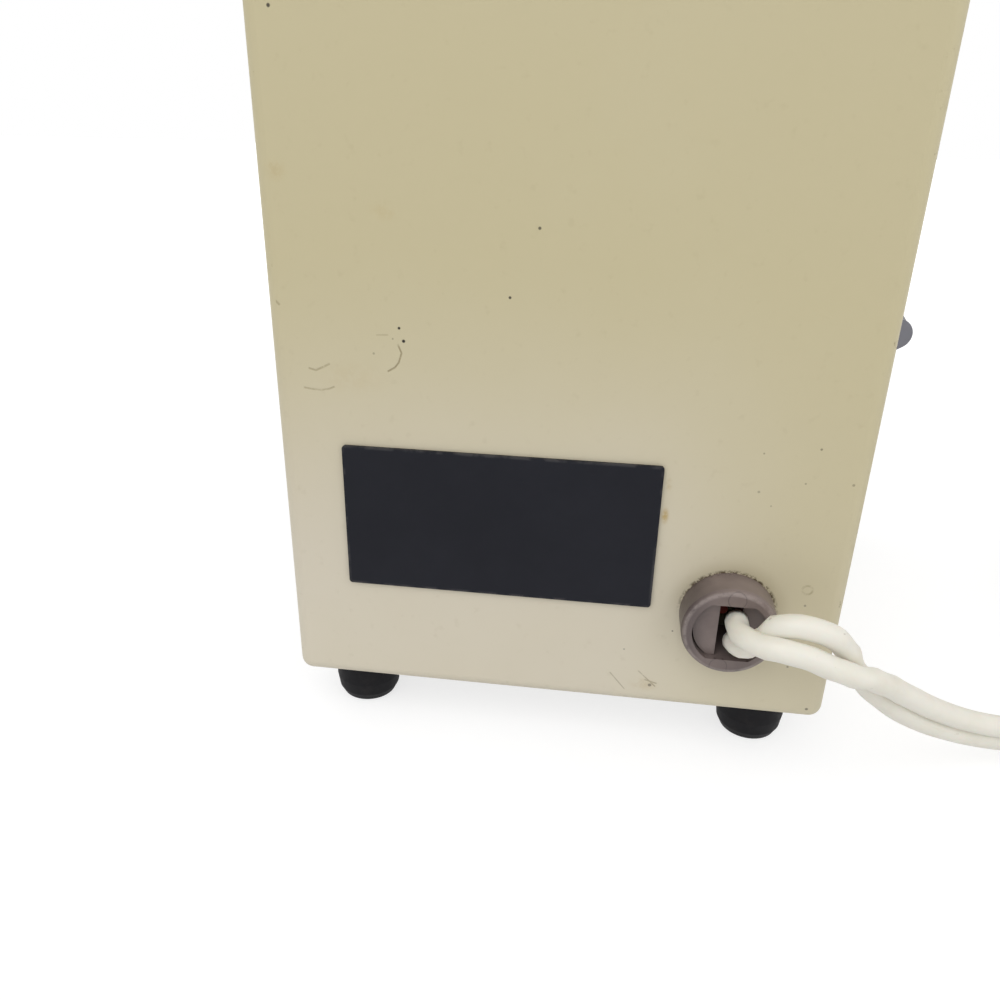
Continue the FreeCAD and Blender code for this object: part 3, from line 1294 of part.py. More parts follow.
def buildCrank(side, title, name, x):
    # the crank's own upright is its long axis, leaning outwards at rest
    lean = Rotation(Vector(0, side, 0), 90 - number("crankRest"))
    bar = newBody(title + "CrankBar")
    plan = newSketch(bar, title + "CrankPlan", "XZ")
    drawCapsule(plan, ("0", "0", "crankShaftRadius + 3"), ("0", "crankReach", "crankShaftRadius + 1.8"))
    pad(bar, plan, "crankWall")
    eye = newSketch(bar, title + "CrankEye", "XZ")
    drawCircle(eye, "0", "0", "crankShaftRadius + seatFit")
    pocket(bar, eye, "crankWall", backward=True)
    place(bar, x, "crankBack", "crankZ", lean)
    bind(bar, "Placement.Rotation.Angle", "(90 - crankRest) * 1 deg")
    handleX, handleZ = "%d * (armX + crankHandleX)" % side, "crankHandleZ"
    pin = turned(title + "HandlePin", [
        ("0", "0.5"),
        ("handlePinRadius", "0.5"),
        ("handlePinRadius", "-crankWall - 0.4 - handleLong - 0.3"),
        ("handlePinRadius + 1.2", "-crankWall - 0.4 - handleLong - 0.3"),
        ("handlePinRadius + 0.9", "-crankWall - 0.4 - handleLong - 1.3"),
        ("0", "-crankWall - 0.4 - handleLong - 1.3"),
    ], handleX, "crankBack - 0.5", handleZ)
    keep(name + "_crank", fuse(title + "Crank", [bar, pin]))
    far = "-handleLong"
    grip = turned(title + "Grip", [
        ("handlePinRadius + runningFit", "0"),
        ("handleRadius * 0.62", "0"),
        ("handleRadius * 0.78", "-1"),
        ("handleRadius", "-handleLong * 0.62"),
        ("handleRadius", "-handleLong * 0.82"),
        ("handleRadius - 1.6", far),
        ("handlePinRadius + runningFit", far),
    ], handleX, "crankFront - 0.4", handleZ)
    keep(name + "_crank_handle", grip)


def buildHinges():
    blocks = []
    pins = []
    for side in (-1, 1):
        x = "%d * armX" % side
        wall, outer = "%d * sideX" % side, x
        limits = (wall, outer) if side > 0 else (outer, wall)
        low, high = "armBack + 0.3", "slotBackY"
        foot = block("HingeFoot", limits, (low, high), ("armPivotZ - hingeRadius", "armPivotZ + hingeRadius"))
        end = rod("HingeEnd", "hingeRadius", low, high, x, "armPivotZ")
        bore = rod("HingeBore", "pivotPinRadius + seatFit", "armBack", "armBack + pinDeep + 0.3", x,
                   "armPivotZ")
        blocks.append(cut("HingeBlock", fuse("HingeBlockWhole", [foot, end]), [bore]))
        pins.append(turned("PivotPin", [
            ("0", "armBack + pinDeep"),
            ("pivotPinRadius", "armBack + pinDeep"),
            ("pivotPinRadius", "armFront - 0.3"),
            ("pivotPinRadius * 2", "armFront - 0.3"),
            ("pivotPinRadius * 1.8", "armFront - 2.2"),
            ("0", "armFront - 2.2"),
        ], x, "0", "armPivotZ"))
    keep("arm_hinge_blocks", group("HingeBlocks", blocks))
    keep("arm_pivot_pins", group("PivotPins", pins))


def buildWires():
    # mains to the transformer, and low voltage to the lamp and the switch
    names = ("backY", "windingBack", "windingFront", "reliefX", "reliefZ", "socketBack", "switchX", "frontY")
    backY, coilBack, coilFront, reliefX, reliefZ, lampBack, switchX, frontY = (number(n) for n in names)
    inside = backY - number("reliefDeep") + 1.9
    half = 2 * number("wireRadius")
    leg = number("legWide") / 2
    switchBack = frontY + 11
    routes = [
        [(-reliefX, inside, reliefZ + half), (-reliefX, inside - 6.4, reliefZ + half),
         (-leg + 1, coilBack + 10.5, reliefZ + 0.8), (-leg + 1, coilBack, reliefZ + 0.4)],
        [(-reliefX, inside, reliefZ - half), (-reliefX, inside - 8.4, reliefZ - half),
         (leg - 3, coilBack + 8.5, reliefZ - 1.4), (leg - 3, coilBack, reliefZ - 1.4)],
        [(-leg + 2, coilFront, reliefZ + 2), (-leg + 2, coilFront - 6.5, reliefZ + 2),
         (-leg + 2, lampBack + 6.5, reliefZ - 3), (-leg + 2, lampBack, reliefZ - 3)],
        [(-leg - 2, coilFront, reliefZ - 4), (-leg - 2, coilFront - 6.5, reliefZ - 4),
         (switchX - 1, frontY + 34, reliefZ - 2), (switchX - 1, frontY + 19, reliefZ - 1),
         (switchX - 1, switchBack, reliefZ - 1)],
    ]
    wires = []
    for route in routes:
        tube = tubeAlong(softRoute([Vector(*point) for point in route]), number("wireRadius"))
        wires.append(solidFeature("InnerWire", tube, Placement()))
    keep("lead_wires", group("LeadWires", wires))


def buildAll():
    buildCasing()
    buildBase()
    buildFrontPanel()
    buildScreen()
    buildMirrors()
    buildLamp()
    buildSupply()
    buildSwitch()
    buildTrack()
    buildHead()
    buildMarker()
    buildBack()
    buildWires()
    buildCord()
    buildHinges()
    buildArm(-1, "left")
    buildArm(1, "right")


buildAll()
doc.recompute()
failed = [o.Name for o in doc.Objects if "Invalid" in o.State or "Error" in o.State]
if failed:
    raise RuntimeError("failed objects: " + ", ".join(failed))
os.makedirs("parts", exist_ok=True)
for nodeName, made in nodes.items():
    if made.Shape.isNull() or not made.Shape.isValid():
        raise RuntimeError("bad shape: " + nodeName)
    made.Shape.exportStep("parts/%s.step" % nodeName)
print(len(nodes), "nodes")
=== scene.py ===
import math
import bmesh
import bpy
from mathutils import Matrix, Vector


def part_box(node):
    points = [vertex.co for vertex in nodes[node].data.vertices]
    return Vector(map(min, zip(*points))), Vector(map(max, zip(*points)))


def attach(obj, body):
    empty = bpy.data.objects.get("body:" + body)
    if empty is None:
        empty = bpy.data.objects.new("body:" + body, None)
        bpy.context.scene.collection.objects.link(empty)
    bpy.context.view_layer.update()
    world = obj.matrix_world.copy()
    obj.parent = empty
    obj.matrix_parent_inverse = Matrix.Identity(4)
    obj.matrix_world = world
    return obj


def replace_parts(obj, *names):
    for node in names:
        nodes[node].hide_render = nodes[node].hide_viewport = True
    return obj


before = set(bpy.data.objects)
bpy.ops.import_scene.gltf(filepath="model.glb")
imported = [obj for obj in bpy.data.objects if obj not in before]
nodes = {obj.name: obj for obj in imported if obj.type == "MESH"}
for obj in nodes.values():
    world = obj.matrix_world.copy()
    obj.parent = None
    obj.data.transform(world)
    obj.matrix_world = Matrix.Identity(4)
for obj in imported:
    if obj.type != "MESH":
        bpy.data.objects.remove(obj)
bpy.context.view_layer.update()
scene = bpy.context.scene
mm = 0.001
print("frame loaded,", len(nodes), "nodes")


# shading words

class Wire:
    # one socket, so that maths on it reads as maths
    def __init__(self, graph, socket):
        self.graph = graph
        self.socket = socket

    def maths(self, operation, *others):
        values = dict(enumerate((self,) + others))
        return self.graph.add("ShaderNodeMath", {"operation": operation}, values).out(0)

    def __add__(self, other): return self.maths("ADD", other)
    def __radd__(self, other): return self.maths("ADD", other)
    def __mul__(self, other): return self.maths("MULTIPLY", other)
    def __sub__(self, other): return self.maths("SUBTRACT", other)
    def __truediv__(self, other): return self.maths("DIVIDE", other)
    def __pow__(self, other): return self.maths("POWER", other)
    def __gt__(self, other): return self.maths("GREATER_THAN", other)
    def size(self): return self.maths("ABSOLUTE")
    def most(self, other): return self.maths("MAXIMUM", other)

    def ramp(self, low, high):
        # 0 at low, 1 at high, smooth between
        made = self.graph.add("ShaderNodeMapRange", {"interpolation_type": "SMOOTHSTEP"},
                              {"Value": self, "From Min": low, "From Max": high})
        return made.out("Result")

    def span(self, low, high):
        # the same between two places in millimetres
        return self.ramp(low * mm, high * mm)


class Made:
    def __init__(self, graph, node):
        self.graph = graph
        self.node = node

    def out(self, key):
        return Wire(self.graph, self.node.outputs[key])


class Graph:
    # a node tree; add() makes any node from its type, settings and socket values
    def __init__(self, tree, shader):
        self.tree = tree
        self.shader = tree.nodes[shader]

    def add(self, kind, settings=None, values=None):
        node = self.tree.nodes.new(kind)
        for key, value in (settings or {}).items():
            setattr(node, key, value)
        for key, value in (values or {}).items():
            if isinstance(value, Wire):
                self.tree.links.new(value.socket, node.inputs[key])
            else:
                node.inputs[key].default_value = value
        return Made(self, node)

    def link(self, wire, socket):
        self.tree.links.new(wire.socket, self.shader.inputs[socket])

    def seen(self):
        # 1 for what the camera, a mirror or glass sees, 0 for the light that falls on things
        rays = self.add("ShaderNodeLightPath")
        clear = rays.out("Is Transmission Ray").most(rays.out("Is Glossy Ray"))
        return rays.out("Is Camera Ray").most(clear)


class Finish(Graph):
    # one material
    def __init__(self, name, **fixed):
        self.material = bpy.data.materials.new(name)
        self.material.use_nodes = True
        super().__init__(self.material.node_tree, "Principled BSDF")
        for key, value in fixed.items():
            self.shader.inputs[key.replace("_", " ")].default_value = value
        self.place = self.add("ShaderNodeTexCoord").out("Object")
        parts = self.add("ShaderNodeSeparateXYZ", {}, {0: self.place})
        self.x, self.y, self.z = parts.out(0), parts.out(1), parts.out(2)

    def number(self, value):
        return self.add("ShaderNodeMath", {"operation": "ADD"}, {0: value, 1: 0.0}).out(0)

    def noise(self, scale, detail=3.0, rough=0.5, stretch=None, twist=0.0):
        where = self.place
        if stretch is not None:
            where = self.add("ShaderNodeVectorMath", {"operation": "MULTIPLY"}, {0: where, 1: stretch}).out(0)
        made = self.add("ShaderNodeTexNoise", {"noise_dimensions": "3D"},
                        {"Vector": where, "Scale": scale, "Detail": detail, "Roughness": rough,
                         "Distortion": twist})
        return made.out("Fac")

    def mix(self, amount, low, high):
        low = low if isinstance(low, Wire) else tuple(low) + (1.0,)
        high = high if isinstance(high, Wire) else tuple(high) + (1.0,)
        made = self.add("ShaderNodeMix", {"data_type": "RGBA", "clamp_factor": True},
                        {0: amount, 6: low, 7: high})
        return made.out(2)

    # marks on a face that looks along Y, at places in millimetres

    def around(self, x, z):
        dx, dz = self.x - x * mm, self.z - z * mm
        return dx, dz, (dx * dx + dz * dz) ** 0.5

    def radii(self, x, z, radius, tall=1.0):
        # how far from a place, as a share of a radius
        across = (self.x - x * mm) / (radius * mm)
        up = (self.z - z * mm) / (radius * tall * mm)
        return (across * across + up * up) ** 0.5

    def spot(self, x, z, radius, soft=0.35, tall=1.0):
        return self.radii(x, z, radius, tall).ramp(1.0, 1.0 - soft)

    def loop(self, x, z, radius, width):
        return (self.radii(x, z, radius) - 1).size().ramp(width / radius, 0.0)

    def streak(self, points, width):
        # a scratch through a few places, as a run of short straight ones whose ends fade
        past, short, core = 0.2, 0.1, 0.3
        marks = self.number(0.0)
        for start, end in zip(points, points[1:]):
            along = Vector((end[0] - start[0], end[1] - start[1]))
            long = along.length
            along.normalize()
            dx, dz = self.x - start[0] * mm, self.z - start[1] * mm
            run = dx * along.x + dz * along.y
            side = (dx * -along.y + dz * along.x).size()
            inside = run.span(-past, short) * run.span(long + past, long - short)
            marks = marks.most(inside * side.span(width, width * core))
        return marks

    def wear(self, colour, roughness, bump=None, depth=0.05, metallic=None):
        # what changes over the surface; bump is a height in 0..1, depth in millimetres
        self.link(colour, "Base Color")
        self.link(roughness, "Roughness")
        if metallic is not None:
            self.link(metallic, "Metallic")
        if bump is not None:
            made = self.add("ShaderNodeBump", {}, {"Height": bump, "Strength": 1.0, "Distance": depth * mm})
            self.link(made.out("Normal"), "Normal")
        return self.material


def linear(red, green, blue):
    # a colour as the eye reads it on a screen, 0 to 255, as the shader wants it
    def channel(value):
        value = value / 255
        return value / 12.92 if value <= 0.04045 else ((value + 0.055) / 1.055) ** 2.4
    return tuple(channel(v) for v in (red, green, blue))


def dress(material, *names):
    for name in names:
        slots = nodes[name].data.materials
        if len(slots) == 0:
            slots.append(material)
        for i in range(len(slots)):
            slots[i] = material


# the strain relief's places in mm and colours, and the casing's paint with its grime

relief = {
    "x": -30.2,
    "z": 31.2,
    "collar": 8.25,
    "front": 60.9,
    "rim": 7.7,
    "root": (56.3, 55.1),
    # the ejector pins' marks, from the middle
    "pins": [(-0.4, 6.5), (1.3, -6.7)],
    "pin": 1.5,
    "pinLine": 0.14,
    "plain": linear(126, 113, 109),
    "patch": linear(110, 97, 94),
    "shade": linear(66, 57, 57),
    "line": linear(74, 64, 62),
    # painted highlight colour for the rim of the front face
    "rubbedAndHighlight": linear(176, 164, 158),
    "grime": linear(72, 56, 38),
    "dust": linear(88, 74, 64),
}

casing = {
    "back": 54.9,
    # places in mm between which the paint changes
    "paleHeights": (96, 26),
    "paleSides": (-46, -8),
    # where painted light lifts the bottom, in height and across
    "paintedLightHeights": (46, 12),
    "paintedLightSides": (0, -46),
    "edge": (47.4, 49.6),
    "warm": linear(194, 184, 149),
    "pale": linear(208, 200, 183),
    # the pale colour of the painted light near the bottom
    "paintedLightPale": linear(224, 216, 192),
    "yellowed": linear(190, 178, 136),
    "dust": linear(150, 134, 98),
    "smudge": linear(176, 148, 88),
    "halo": linear(160, 148, 112),
    "grime": linear(70, 54, 34),
    "rim": linear(128, 112, 74),
    "scratch": linear(122, 108, 74),
    "chip": linear(126, 112, 82),
    "speck": linear(34, 28, 24),
    # each a run of places in mm, its width and how strong it is
    "scratches": [([(28.0, 76.6), (27.4, 75.2), (27.9, 73.6), (28.6, 72.7), (29.8, 72.0)], 0.22, 0.8),
                  ([(43.4, 71.8), (42.2, 71.5), (41.2, 72.0), (39.8, 72.7)], 0.26, 0.55),
                  ([(44.5, 68.4), (43.2, 68.2), (41.5, 68.1), (40.1, 68.4), (39.2, 68.8)], 0.24, 0.5),
                  ([(31.5, 78.0), (29.6, 78.1)], 0.22, 0.3),
                  ([(48.3, 82.8), (47.6, 82.2)], 0.3, 0.5),
                  ([(-10.7, 16.5), (-13.6, 13.1)], 0.16, 0.5),
                  ([(-15.9, 17.4), (-17.6, 15.8), (-19.2, 14.3)], 0.18, 0.6),
                  ([(-17.2, 15.6), (-19.4, 15.0)], 0.2, 0.6)],
    # x, z, radius in mm and strength
    "specks": [(27.7, 79.3, 0.3, 1.0), (27.0, 77.2, 0.36, 1.0), (49.6, 78.5, 0.34, 1.0),
               (32.1, 74.9, 0.26, 0.35), (28.8, 77.5, 0.2, 0.4), (9.7, 85.0, 0.3, 0.9),
               (45.4, 124.8, 0.36, 0.9), (5.4, 95.6, 0.32, 0.8), (-41.2, 63.1, 0.26, 0.55),
               (-32.4, 61.8, 0.22, 0.4), (-39.7, 57.0, 0.22, 0.4), (-32.5, 55.0, 0.3, 0.35),
               (-47.2, 57.3, 0.3, 0.4), (-34.8, 52.6, 0.2, 0.35), (-21.2, 26.7, 0.22, 0.6),
               (-12.9, 21.9, 0.2, 0.5), (-42.2, 21.3, 0.26, 0.5), (-43.2, 34.2, 0.28, 0.45),
               (-18.2, 14.5, 0.42, 0.6), (-46.9, 12.5, 0.36, 0.6), (-13.0, 11.6, 0.3, 0.4)],
    # x, z, radius, how tall against its width, strength
    "smudges": [(46.4, 102.8, 2.2, 1.0, 0.2), (29.3, 97.5, 3.2, 0.7, 0.16), (-17.7, 49.4, 0.9, 2.2, 0.85),
                (-17.8, 55.2, 0.8, 1.8, 0.45), (-17.0, 14.6, 3.4, 0.6, 0.25), (36.0, 70.5, 8.0, 0.5, 0.1)],
    # x, z, radius and width of line
    "blister": (-43.1, 37.3, 0.85, 0.34),
}


def casingPaint():
    paint = Finish("casingPaint", Specular_IOR_Level=0.4)
    back = paint.y > casing["back"] * mm
    cloud = paint.noise(14.0, 4.0, 0.6)
    # paler low down, most of all away from the cord's side
    low = paint.z.span(*casing["paleHeights"]) * (paint.x.span(*casing["paleSides"]) * 0.75 + 0.25)
    patch = paint.noise(26.0, 3.0, 0.5)
    colour = paint.mix(low + (patch - 0.5) * 0.22, casing["warm"], casing["pale"])
    # painted light: paler still towards the bottom, most of all on the cord's side
    paintedLift = paint.z.span(*casing["paintedLightHeights"]) * (paint.x.span(*casing["paintedLightSides"]) * 0.3 + 0.2)
    colour = paint.mix(paintedLift, colour, casing["paintedLightPale"])
    colour = paint.mix((cloud - 0.5).size() * 0.35, colour, casing["yellowed"])
    fine = paint.noise(420.0, 2.0, 0.6)
    colour = paint.mix(fine.ramp(0.6, 0.8) * 0.10, colour, casing["dust"])
    ragged = paint.noise(520.0, 4.0, 0.75)
    marks = paint.number(0.0)
    for x, z, radius, tall, strength in casing["smudges"]:
        marks = marks.most(paint.spot(x, z, radius, 0.9, tall) * ragged.ramp(0.35, 0.6) * strength)
    colour = paint.mix(marks * back, colour, casing["smudge"])
    # darker in a soft ring round the strain relief, most of it above, and grainy grime in the corner between the
    # casing and the strain relief
    _, dz, far = paint.around(relief["x"], relief["z"])
    collar = relief["collar"]
    grain = paint.noise(1500.0, 3.0, 0.8)
    corner = far.span(collar + 0.75, collar + 0.1)
    halo = far.span(collar + 3.2, collar)
    above = dz.span(-1.5, 4.5)
    colour = paint.mix(halo * above * back * 0.28, colour, casing["halo"])
    colour = paint.mix(corner * grain.ramp(0.44, 0.56) * above * back * 0.9, colour, casing["grime"])
    # a blister in the paint, with dirt in its rim
    blister = paint.loop(*casing["blister"]) * ragged.ramp(0.38, 0.62)
    colour = paint.mix(blister * back * 0.45, colour, casing["rim"])
    scars = paint.number(0.0)
    for points, width, strength in casing["scratches"]:
        scars = scars.most(paint.streak(points, width) * strength)
    scars = scars * ragged.ramp(0.2, 0.5)
    colour = paint.mix(scars * back * 0.8, colour, casing["scratch"])
    # small chips and rubs along the upright edges
    edge = paint.x.size().span(*casing["edge"])
    chips = edge * paint.noise(330.0, 4.0, 0.8).ramp(0.62, 0.68)
    colour = paint.mix(chips * 0.55, colour, casing["chip"])
    dots = paint.number(0.0)
    for x, z, radius, strength in casing["specks"]:
        dots = dots.most(paint.spot(x, z, radius, 0.5) * strength)
    colour = paint.mix(dots * back, colour, casing["speck"])
    peel = paint.noise(260.0, 2.0, 0.4)
    sheen = 0.38 + cloud * 0.12 + fine * 0.06 + chips * 0.2
    height = peel * 0.4 + blister * back * 0.5 - scars * back * 0.8 - chips * 0.5
    return paint.wear(colour, sheen, height, 0.06)


def panelPaint():
    paint = Finish("panelPaint", Specular_IOR_Level=0.45)
    cloud = paint.noise(20.0, 4.0, 0.6)
    colour = paint.mix(cloud.ramp(0.35, 0.75) * 0.5, linear(206, 197, 168), linear(190, 179, 144))
    # the floor of the film slot is rubbed by fingers and film
    slotFloor = (52, 47.5)
    rubbedAndHighlight = paint.noise(160.0, 5.0, 0.7).ramp(0.5, 0.72) * paint.z.span(*slotFloor)
    colour = paint.mix(rubbedAndHighlight * 0.35, colour, linear(140, 132, 112))
    return paint.wear(colour, 0.38 + cloud * 0.14, paint.noise(260.0, 2.0, 0.4) * 0.5, 0.06)


# other finishes

def metal(name, tint, roughness, grain=(1.0, 1.0, 1.0), scale=900.0, stain=0.25):
    steel = Finish(name, Metallic=1.0)
    lines = steel.noise(scale, 3.0, 0.6, grain)
    cloud = steel.noise(60.0, 4.0, 0.6)
    colour = steel.mix(cloud.ramp(0.4, 0.75) * stain, tint, tuple(c * 0.62 for c in tint))
    rough = roughness + lines * 0.14 + cloud * 0.08
    return steel.wear(colour, rough, lines, 0.015)


def plastic(name, tint, roughness, wornTint, scale=500.0, depth=0.03):
    shell = Finish(name, Specular_IOR_Level=0.5)
    cloud = shell.noise(70.0, 4.0, 0.6)
    grain = shell.noise(scale, 3.0, 0.6)
    colour = shell.mix(cloud.ramp(0.35, 0.8) * 0.6, tint, wornTint)
    return shell.wear(colour, roughness + cloud * 0.12 + grain * 0.05, grain, depth)


def wrinklePaint():
    paint = Finish("hoodWrinkle", Specular_IOR_Level=0.5)
    ridges = paint.noise(700.0, 4.0, 0.6, None, 1.5)
    # painted shade in the wrinkle's valleys and a painted highlight on its ridges, from the same ridges as the
    # bump
    colour = paint.mix(ridges.ramp(0.3, 0.7), linear(18, 18, 18), linear(46, 46, 45))
    return paint.wear(colour, 0.5 + ridges * 0.2, ridges, 0.12)


nameplate = {"x": 10.8, "z": 45.0, "edgeX": (27.0, 27.5), "edgeZ": (12.9, 13.4)}


def plateFinish():
    plate = Finish("nameplateBlack", Specular_IOR_Level=0.15)
    cloud = plate.noise(60.0, 4.0, 0.6)
    lines = plate.noise(1200.0, 2.0, 0.5, (0.05, 1.0, 1.0))
    dx, dz, _ = plate.around(nameplate["x"], nameplate["z"])
    rim = dx.size().span(*nameplate["edgeX"]).most(dz.size().span(*nameplate["edgeZ"]))
    colour = plate.mix(cloud.ramp(0.3, 0.8) * 0.5, linear(24, 25, 32), linear(34, 35, 42))
    colour = plate.mix(rim * plate.noise(400.0).ramp(0.4, 0.6) * 0.35, colour, linear(92, 90, 90))
    return plate.wear(colour, 0.34 + cloud * 0.16 + lines * 0.08, lines, 0.01)


def reliefFinish():
    shell = Finish("reliefPlastic", Specular_IOR_Level=0.45)
    cloud = shell.noise(140.0, 4.0, 0.6)
    grit = shell.noise(600.0, 4.0, 0.7)
    dx, dz, far = shell.around(relief["x"], relief["z"])
    colour = shell.mix(cloud.ramp(0.3, 0.75), relief["plain"], relief["patch"])
    # darker on the side away from the light and underneath
    shade = dx.span(2.5, 7.5).most(dz.span(-4, -7.5) * 0.5)
    colour = shell.mix(shade * 0.62, colour, relief["shade"])
    front = shell.y > relief["front"] * mm
    pins = shell.number(0.0)
    for x, z in relief["pins"]:
        pins = pins.most(shell.loop(relief["x"] + x, relief["z"] + z, relief["pin"], relief["pinLine"]))
    pins = pins * front
    colour = shell.mix(pins * 0.6, colour, relief["line"])
    # a painted highlight on the rim of the front face, broken up by grit, dust in the deep places and grime at the
    # root
    rim = (far - relief["rim"] * mm).size().span(0.5, 0.1) * front * grit.ramp(0.3, 0.6)
    colour = shell.mix(rim * 0.35, colour, relief["rubbedAndHighlight"])
    root = shell.y.span(*relief["root"]) * shell.noise(2400.0, 3.0, 0.8).ramp(0.46, 0.62)
    colour = shell.mix(root * dz.span(-2, 4) * 0.6, colour, relief["grime"])
    colour = shell.mix(grit.ramp(0.6, 0.8) * 0.25, colour, relief["dust"])
    return shell.wear(colour, 0.3 + cloud * 0.15, grit * 0.5 - pins * 0.8, 0.05)


def cordFinish():
    cover = Finish("cordWhite", Specular_IOR_Level=0.45, Subsurface_Weight=0.08, Subsurface_Scale=0.002)
    cloud = cover.noise(90.0, 4.0, 0.6)
    grit = cover.noise(700.0, 3.0, 0.7)
    colour = cover.mix(cloud.ramp(0.4, 0.8) * 0.5, linear(233, 230, 219), linear(214, 208, 190))
    scuff = cover.noise(240.0, 4.0, 0.75).ramp(0.66, 0.74)
    colour = cover.mix(scuff * 0.55, colour, linear(150, 140, 118))
    return cover.wear(colour, 0.34 + grit * 0.15, grit, 0.02)


def rubberFinish():
    rubber = Finish("footRubber", Specular_IOR_Level=0.2)
    dust = rubber.noise(180.0, 4.0, 0.7)
    fine = rubber.noise(900.0, 3.0, 0.6)
    colour = rubber.mix(dust.ramp(0.5, 0.78) * 0.3, linear(15, 14, 18), linear(52, 48, 46))
    return rubber.wear(colour, 0.55 + fine * 0.18, fine, 0.03)


def mirrorFinish():
    glass = Finish("mirrorSilver", Metallic=1.0)
    haze = glass.noise(60.0, 4.0, 0.6)
    return glass.wear(glass.mix(haze.ramp(0.5, 0.8) * 0.15, linear(228, 232, 234), linear(190, 194, 190)),
                      0.02 + haze * 0.05)


def groundGlass():
    # frosted, with the faint lamp-side shade that a dark viewer shows
    glass = Finish("screenGround", Transmission_Weight=0.55, IOR=1.5)
    frost = glass.noise(2200.0, 2.0, 0.5)
    cloud = glass.noise(24.0, 3.0, 0.5)
    colour = glass.mix(cloud.ramp(0.3, 0.8), linear(206, 210, 206), linear(190, 196, 190))
    return glass.wear(colour, 0.42 + frost * 0.2, frost, 0.01)


def clearGlass():
    glass = Finish("opticGlass", Transmission_Weight=1.0, IOR=1.52)
    dust = glass.noise(500.0, 4.0, 0.7)
    return glass.wear(glass.mix(dust.ramp(0.6, 0.8) * 0.1, linear(250, 252, 252), linear(220, 222, 220)),
                      0.02 + dust * 0.03)


def bulbFinish():
    # glass in front of the cap, plated metal behind
    bulb = Finish("bulbGlass", IOR=1.5)
    capStart = (-37.2, -36.6)
    cap = bulb.y.span(*capStart)
    grain = bulb.noise(500.0)
    colour = bulb.mix(cap, linear(236, 232, 220), linear(196, 190, 170))
    return bulb.wear(colour, 0.12 + cap * 0.18 + grain * 0.05, grain, 0.01, cap)


def coreFinish():
    # the edges of a stack of thin iron sheets
    core = Finish("coreLaminations", Metallic=0.7)
    sheets = core.add("ShaderNodeTexWave", {"wave_type": "BANDS", "bands_direction": "Y"},
                      {"Vector": core.place, "Scale": 480.0, "Distortion": 0.4}).out("Fac")
    cloud = core.noise(90.0, 4.0, 0.7)
    colour = core.mix(sheets, linear(62, 58, 54), linear(104, 98, 90))
    colour = core.mix(cloud.ramp(0.55, 0.75) * 0.5, colour, linear(108, 70, 44))
    return core.wear(colour, 0.45 + cloud * 0.2, sheets, 0.05)


def tapeFinish():
    tape = Finish("windingTape", Specular_IOR_Level=0.5)
    laps = tape.add("ShaderNodeTexWave", {"wave_type": "BANDS", "bands_direction": "Z"},
                    {"Vector": tape.place, "Scale": 55.0, "Distortion": 0.5}).out("Fac")
    cloud = tape.noise(80.0, 4.0, 0.6)
    colour = tape.mix(laps.ramp(0.4, 0.6) * 0.5, linear(206, 174, 92), linear(176, 140, 66))
    return tape.wear(tape.mix(cloud.ramp(0.5, 0.8) * 0.4, colour, linear(140, 104, 48)),
                     0.35 + cloud * 0.2, laps, 0.08)


def turnedBlack():
    return plastic("knobBlack", linear(26, 26, 27), 0.34, linear(52, 51, 50), 700.0, 0.02)


zinc = metal("zincPlate", linear(176, 174, 168), 0.28, (1.0, 1.0, 0.08))
turned = metal("turnedSteel", linear(190, 190, 190), 0.22, (1.0, 0.04, 1.0))
gearSteel = metal("gearSteel", linear(168, 164, 156), 0.32, (1.0, 1.0, 1.0), 600.0, 0.4)
chromed = metal("chromed", linear(214, 215, 218), 0.08, (1.0, 1.0, 1.0), 300.0, 0.12)
cast = metal("castAluminium", linear(186, 187, 188), 0.36, (1.0, 1.0, 1.0), 500.0, 0.3)
brass = metal("bladeBrass", linear(206, 176, 112), 0.24, (0.05, 1.0, 1.0))
dullSteel = metal("dullSteel", linear(118, 118, 124), 0.26, (1.0, 1.0, 1.0), 500.0, 0.3)
armPaint = plastic("armEnamel", linear(120, 120, 118), 0.34, linear(98, 98, 95), 260.0, 0.05)

dress(casingPaint(), "rear_casing")
dress(panelPaint(), "front_panel")
dress(zinc, "base_plate", "mirror_bracket", "transformer_strap", "turning_mirror_holder", "lamp_socket",
      "foot_screws", "strap_screws", "gate_hinge_bracket", "marker_guide", "marker_spring")
dress(wrinklePaint(), "screen_hood")
dress(rubberFinish(), "rubber_feet")
dress(plateFinish(), "nameplate")
dress(reliefFinish(), "strain_relief", "strain_relief_wedges")
dress(brass, "plug_blades")
dress(coreFinish(), "transformer_core")
dress(tapeFinish(), "transformer_coil")
dress(mirrorFinish(), "main_mirror", "turning_mirror")
dress(groundGlass(), "screen_glass")
dress(clearGlass(), "condenser_lens", "lens_glass", "image_prism")
dress(plastic("wireRed", linear(150, 44, 30), 0.4, linear(122, 34, 24)), "lead_wires")
dress(bulbFinish(), "lamp_bulb")
dress(chromed, "lamp_reflector", "film_track", "left_roller", "right_roller", "roller_pins",
      "condenser_ring")
dress(dullSteel, "left_crank", "right_crank")
dress(plastic("switchBlack", linear(20, 20, 21), 0.25, linear(34, 34, 34)), "switch_body", "switch_rocker")
dress(turned, "gate_hinge_pin", "arm_pivot_pins", "film_sprocket", "lens_barrel")
dress(cast, "gate_head")
dress(plastic("buttonRed", linear(170, 28, 24), 0.25, linear(140, 22, 18)), "marker_button")
dress(armPaint, "arm_hinge_blocks", "left_arm", "right_arm", "left_gear_cover", "right_gear_cover")
dress(gearSteel, "left_crank_gear", "right_crank_gear", "left_spindle", "right_spindle")
dress(plastic("gripGrey", linear(52, 51, 50), 0.34, linear(78, 76, 74)), "left_crank_handle", "right_crank_handle")
print("CAD pieces dressed")


# mesh helpers

def newPiece(name, mesh, material, body):
    piece = bpy.data.objects.new(name, mesh)
    scene.collection.objects.link(piece)
    mesh.materials.append(material)
    mesh.polygons.foreach_set("use_smooth", [True] * len(mesh.polygons))
    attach(piece, body)
    return piece


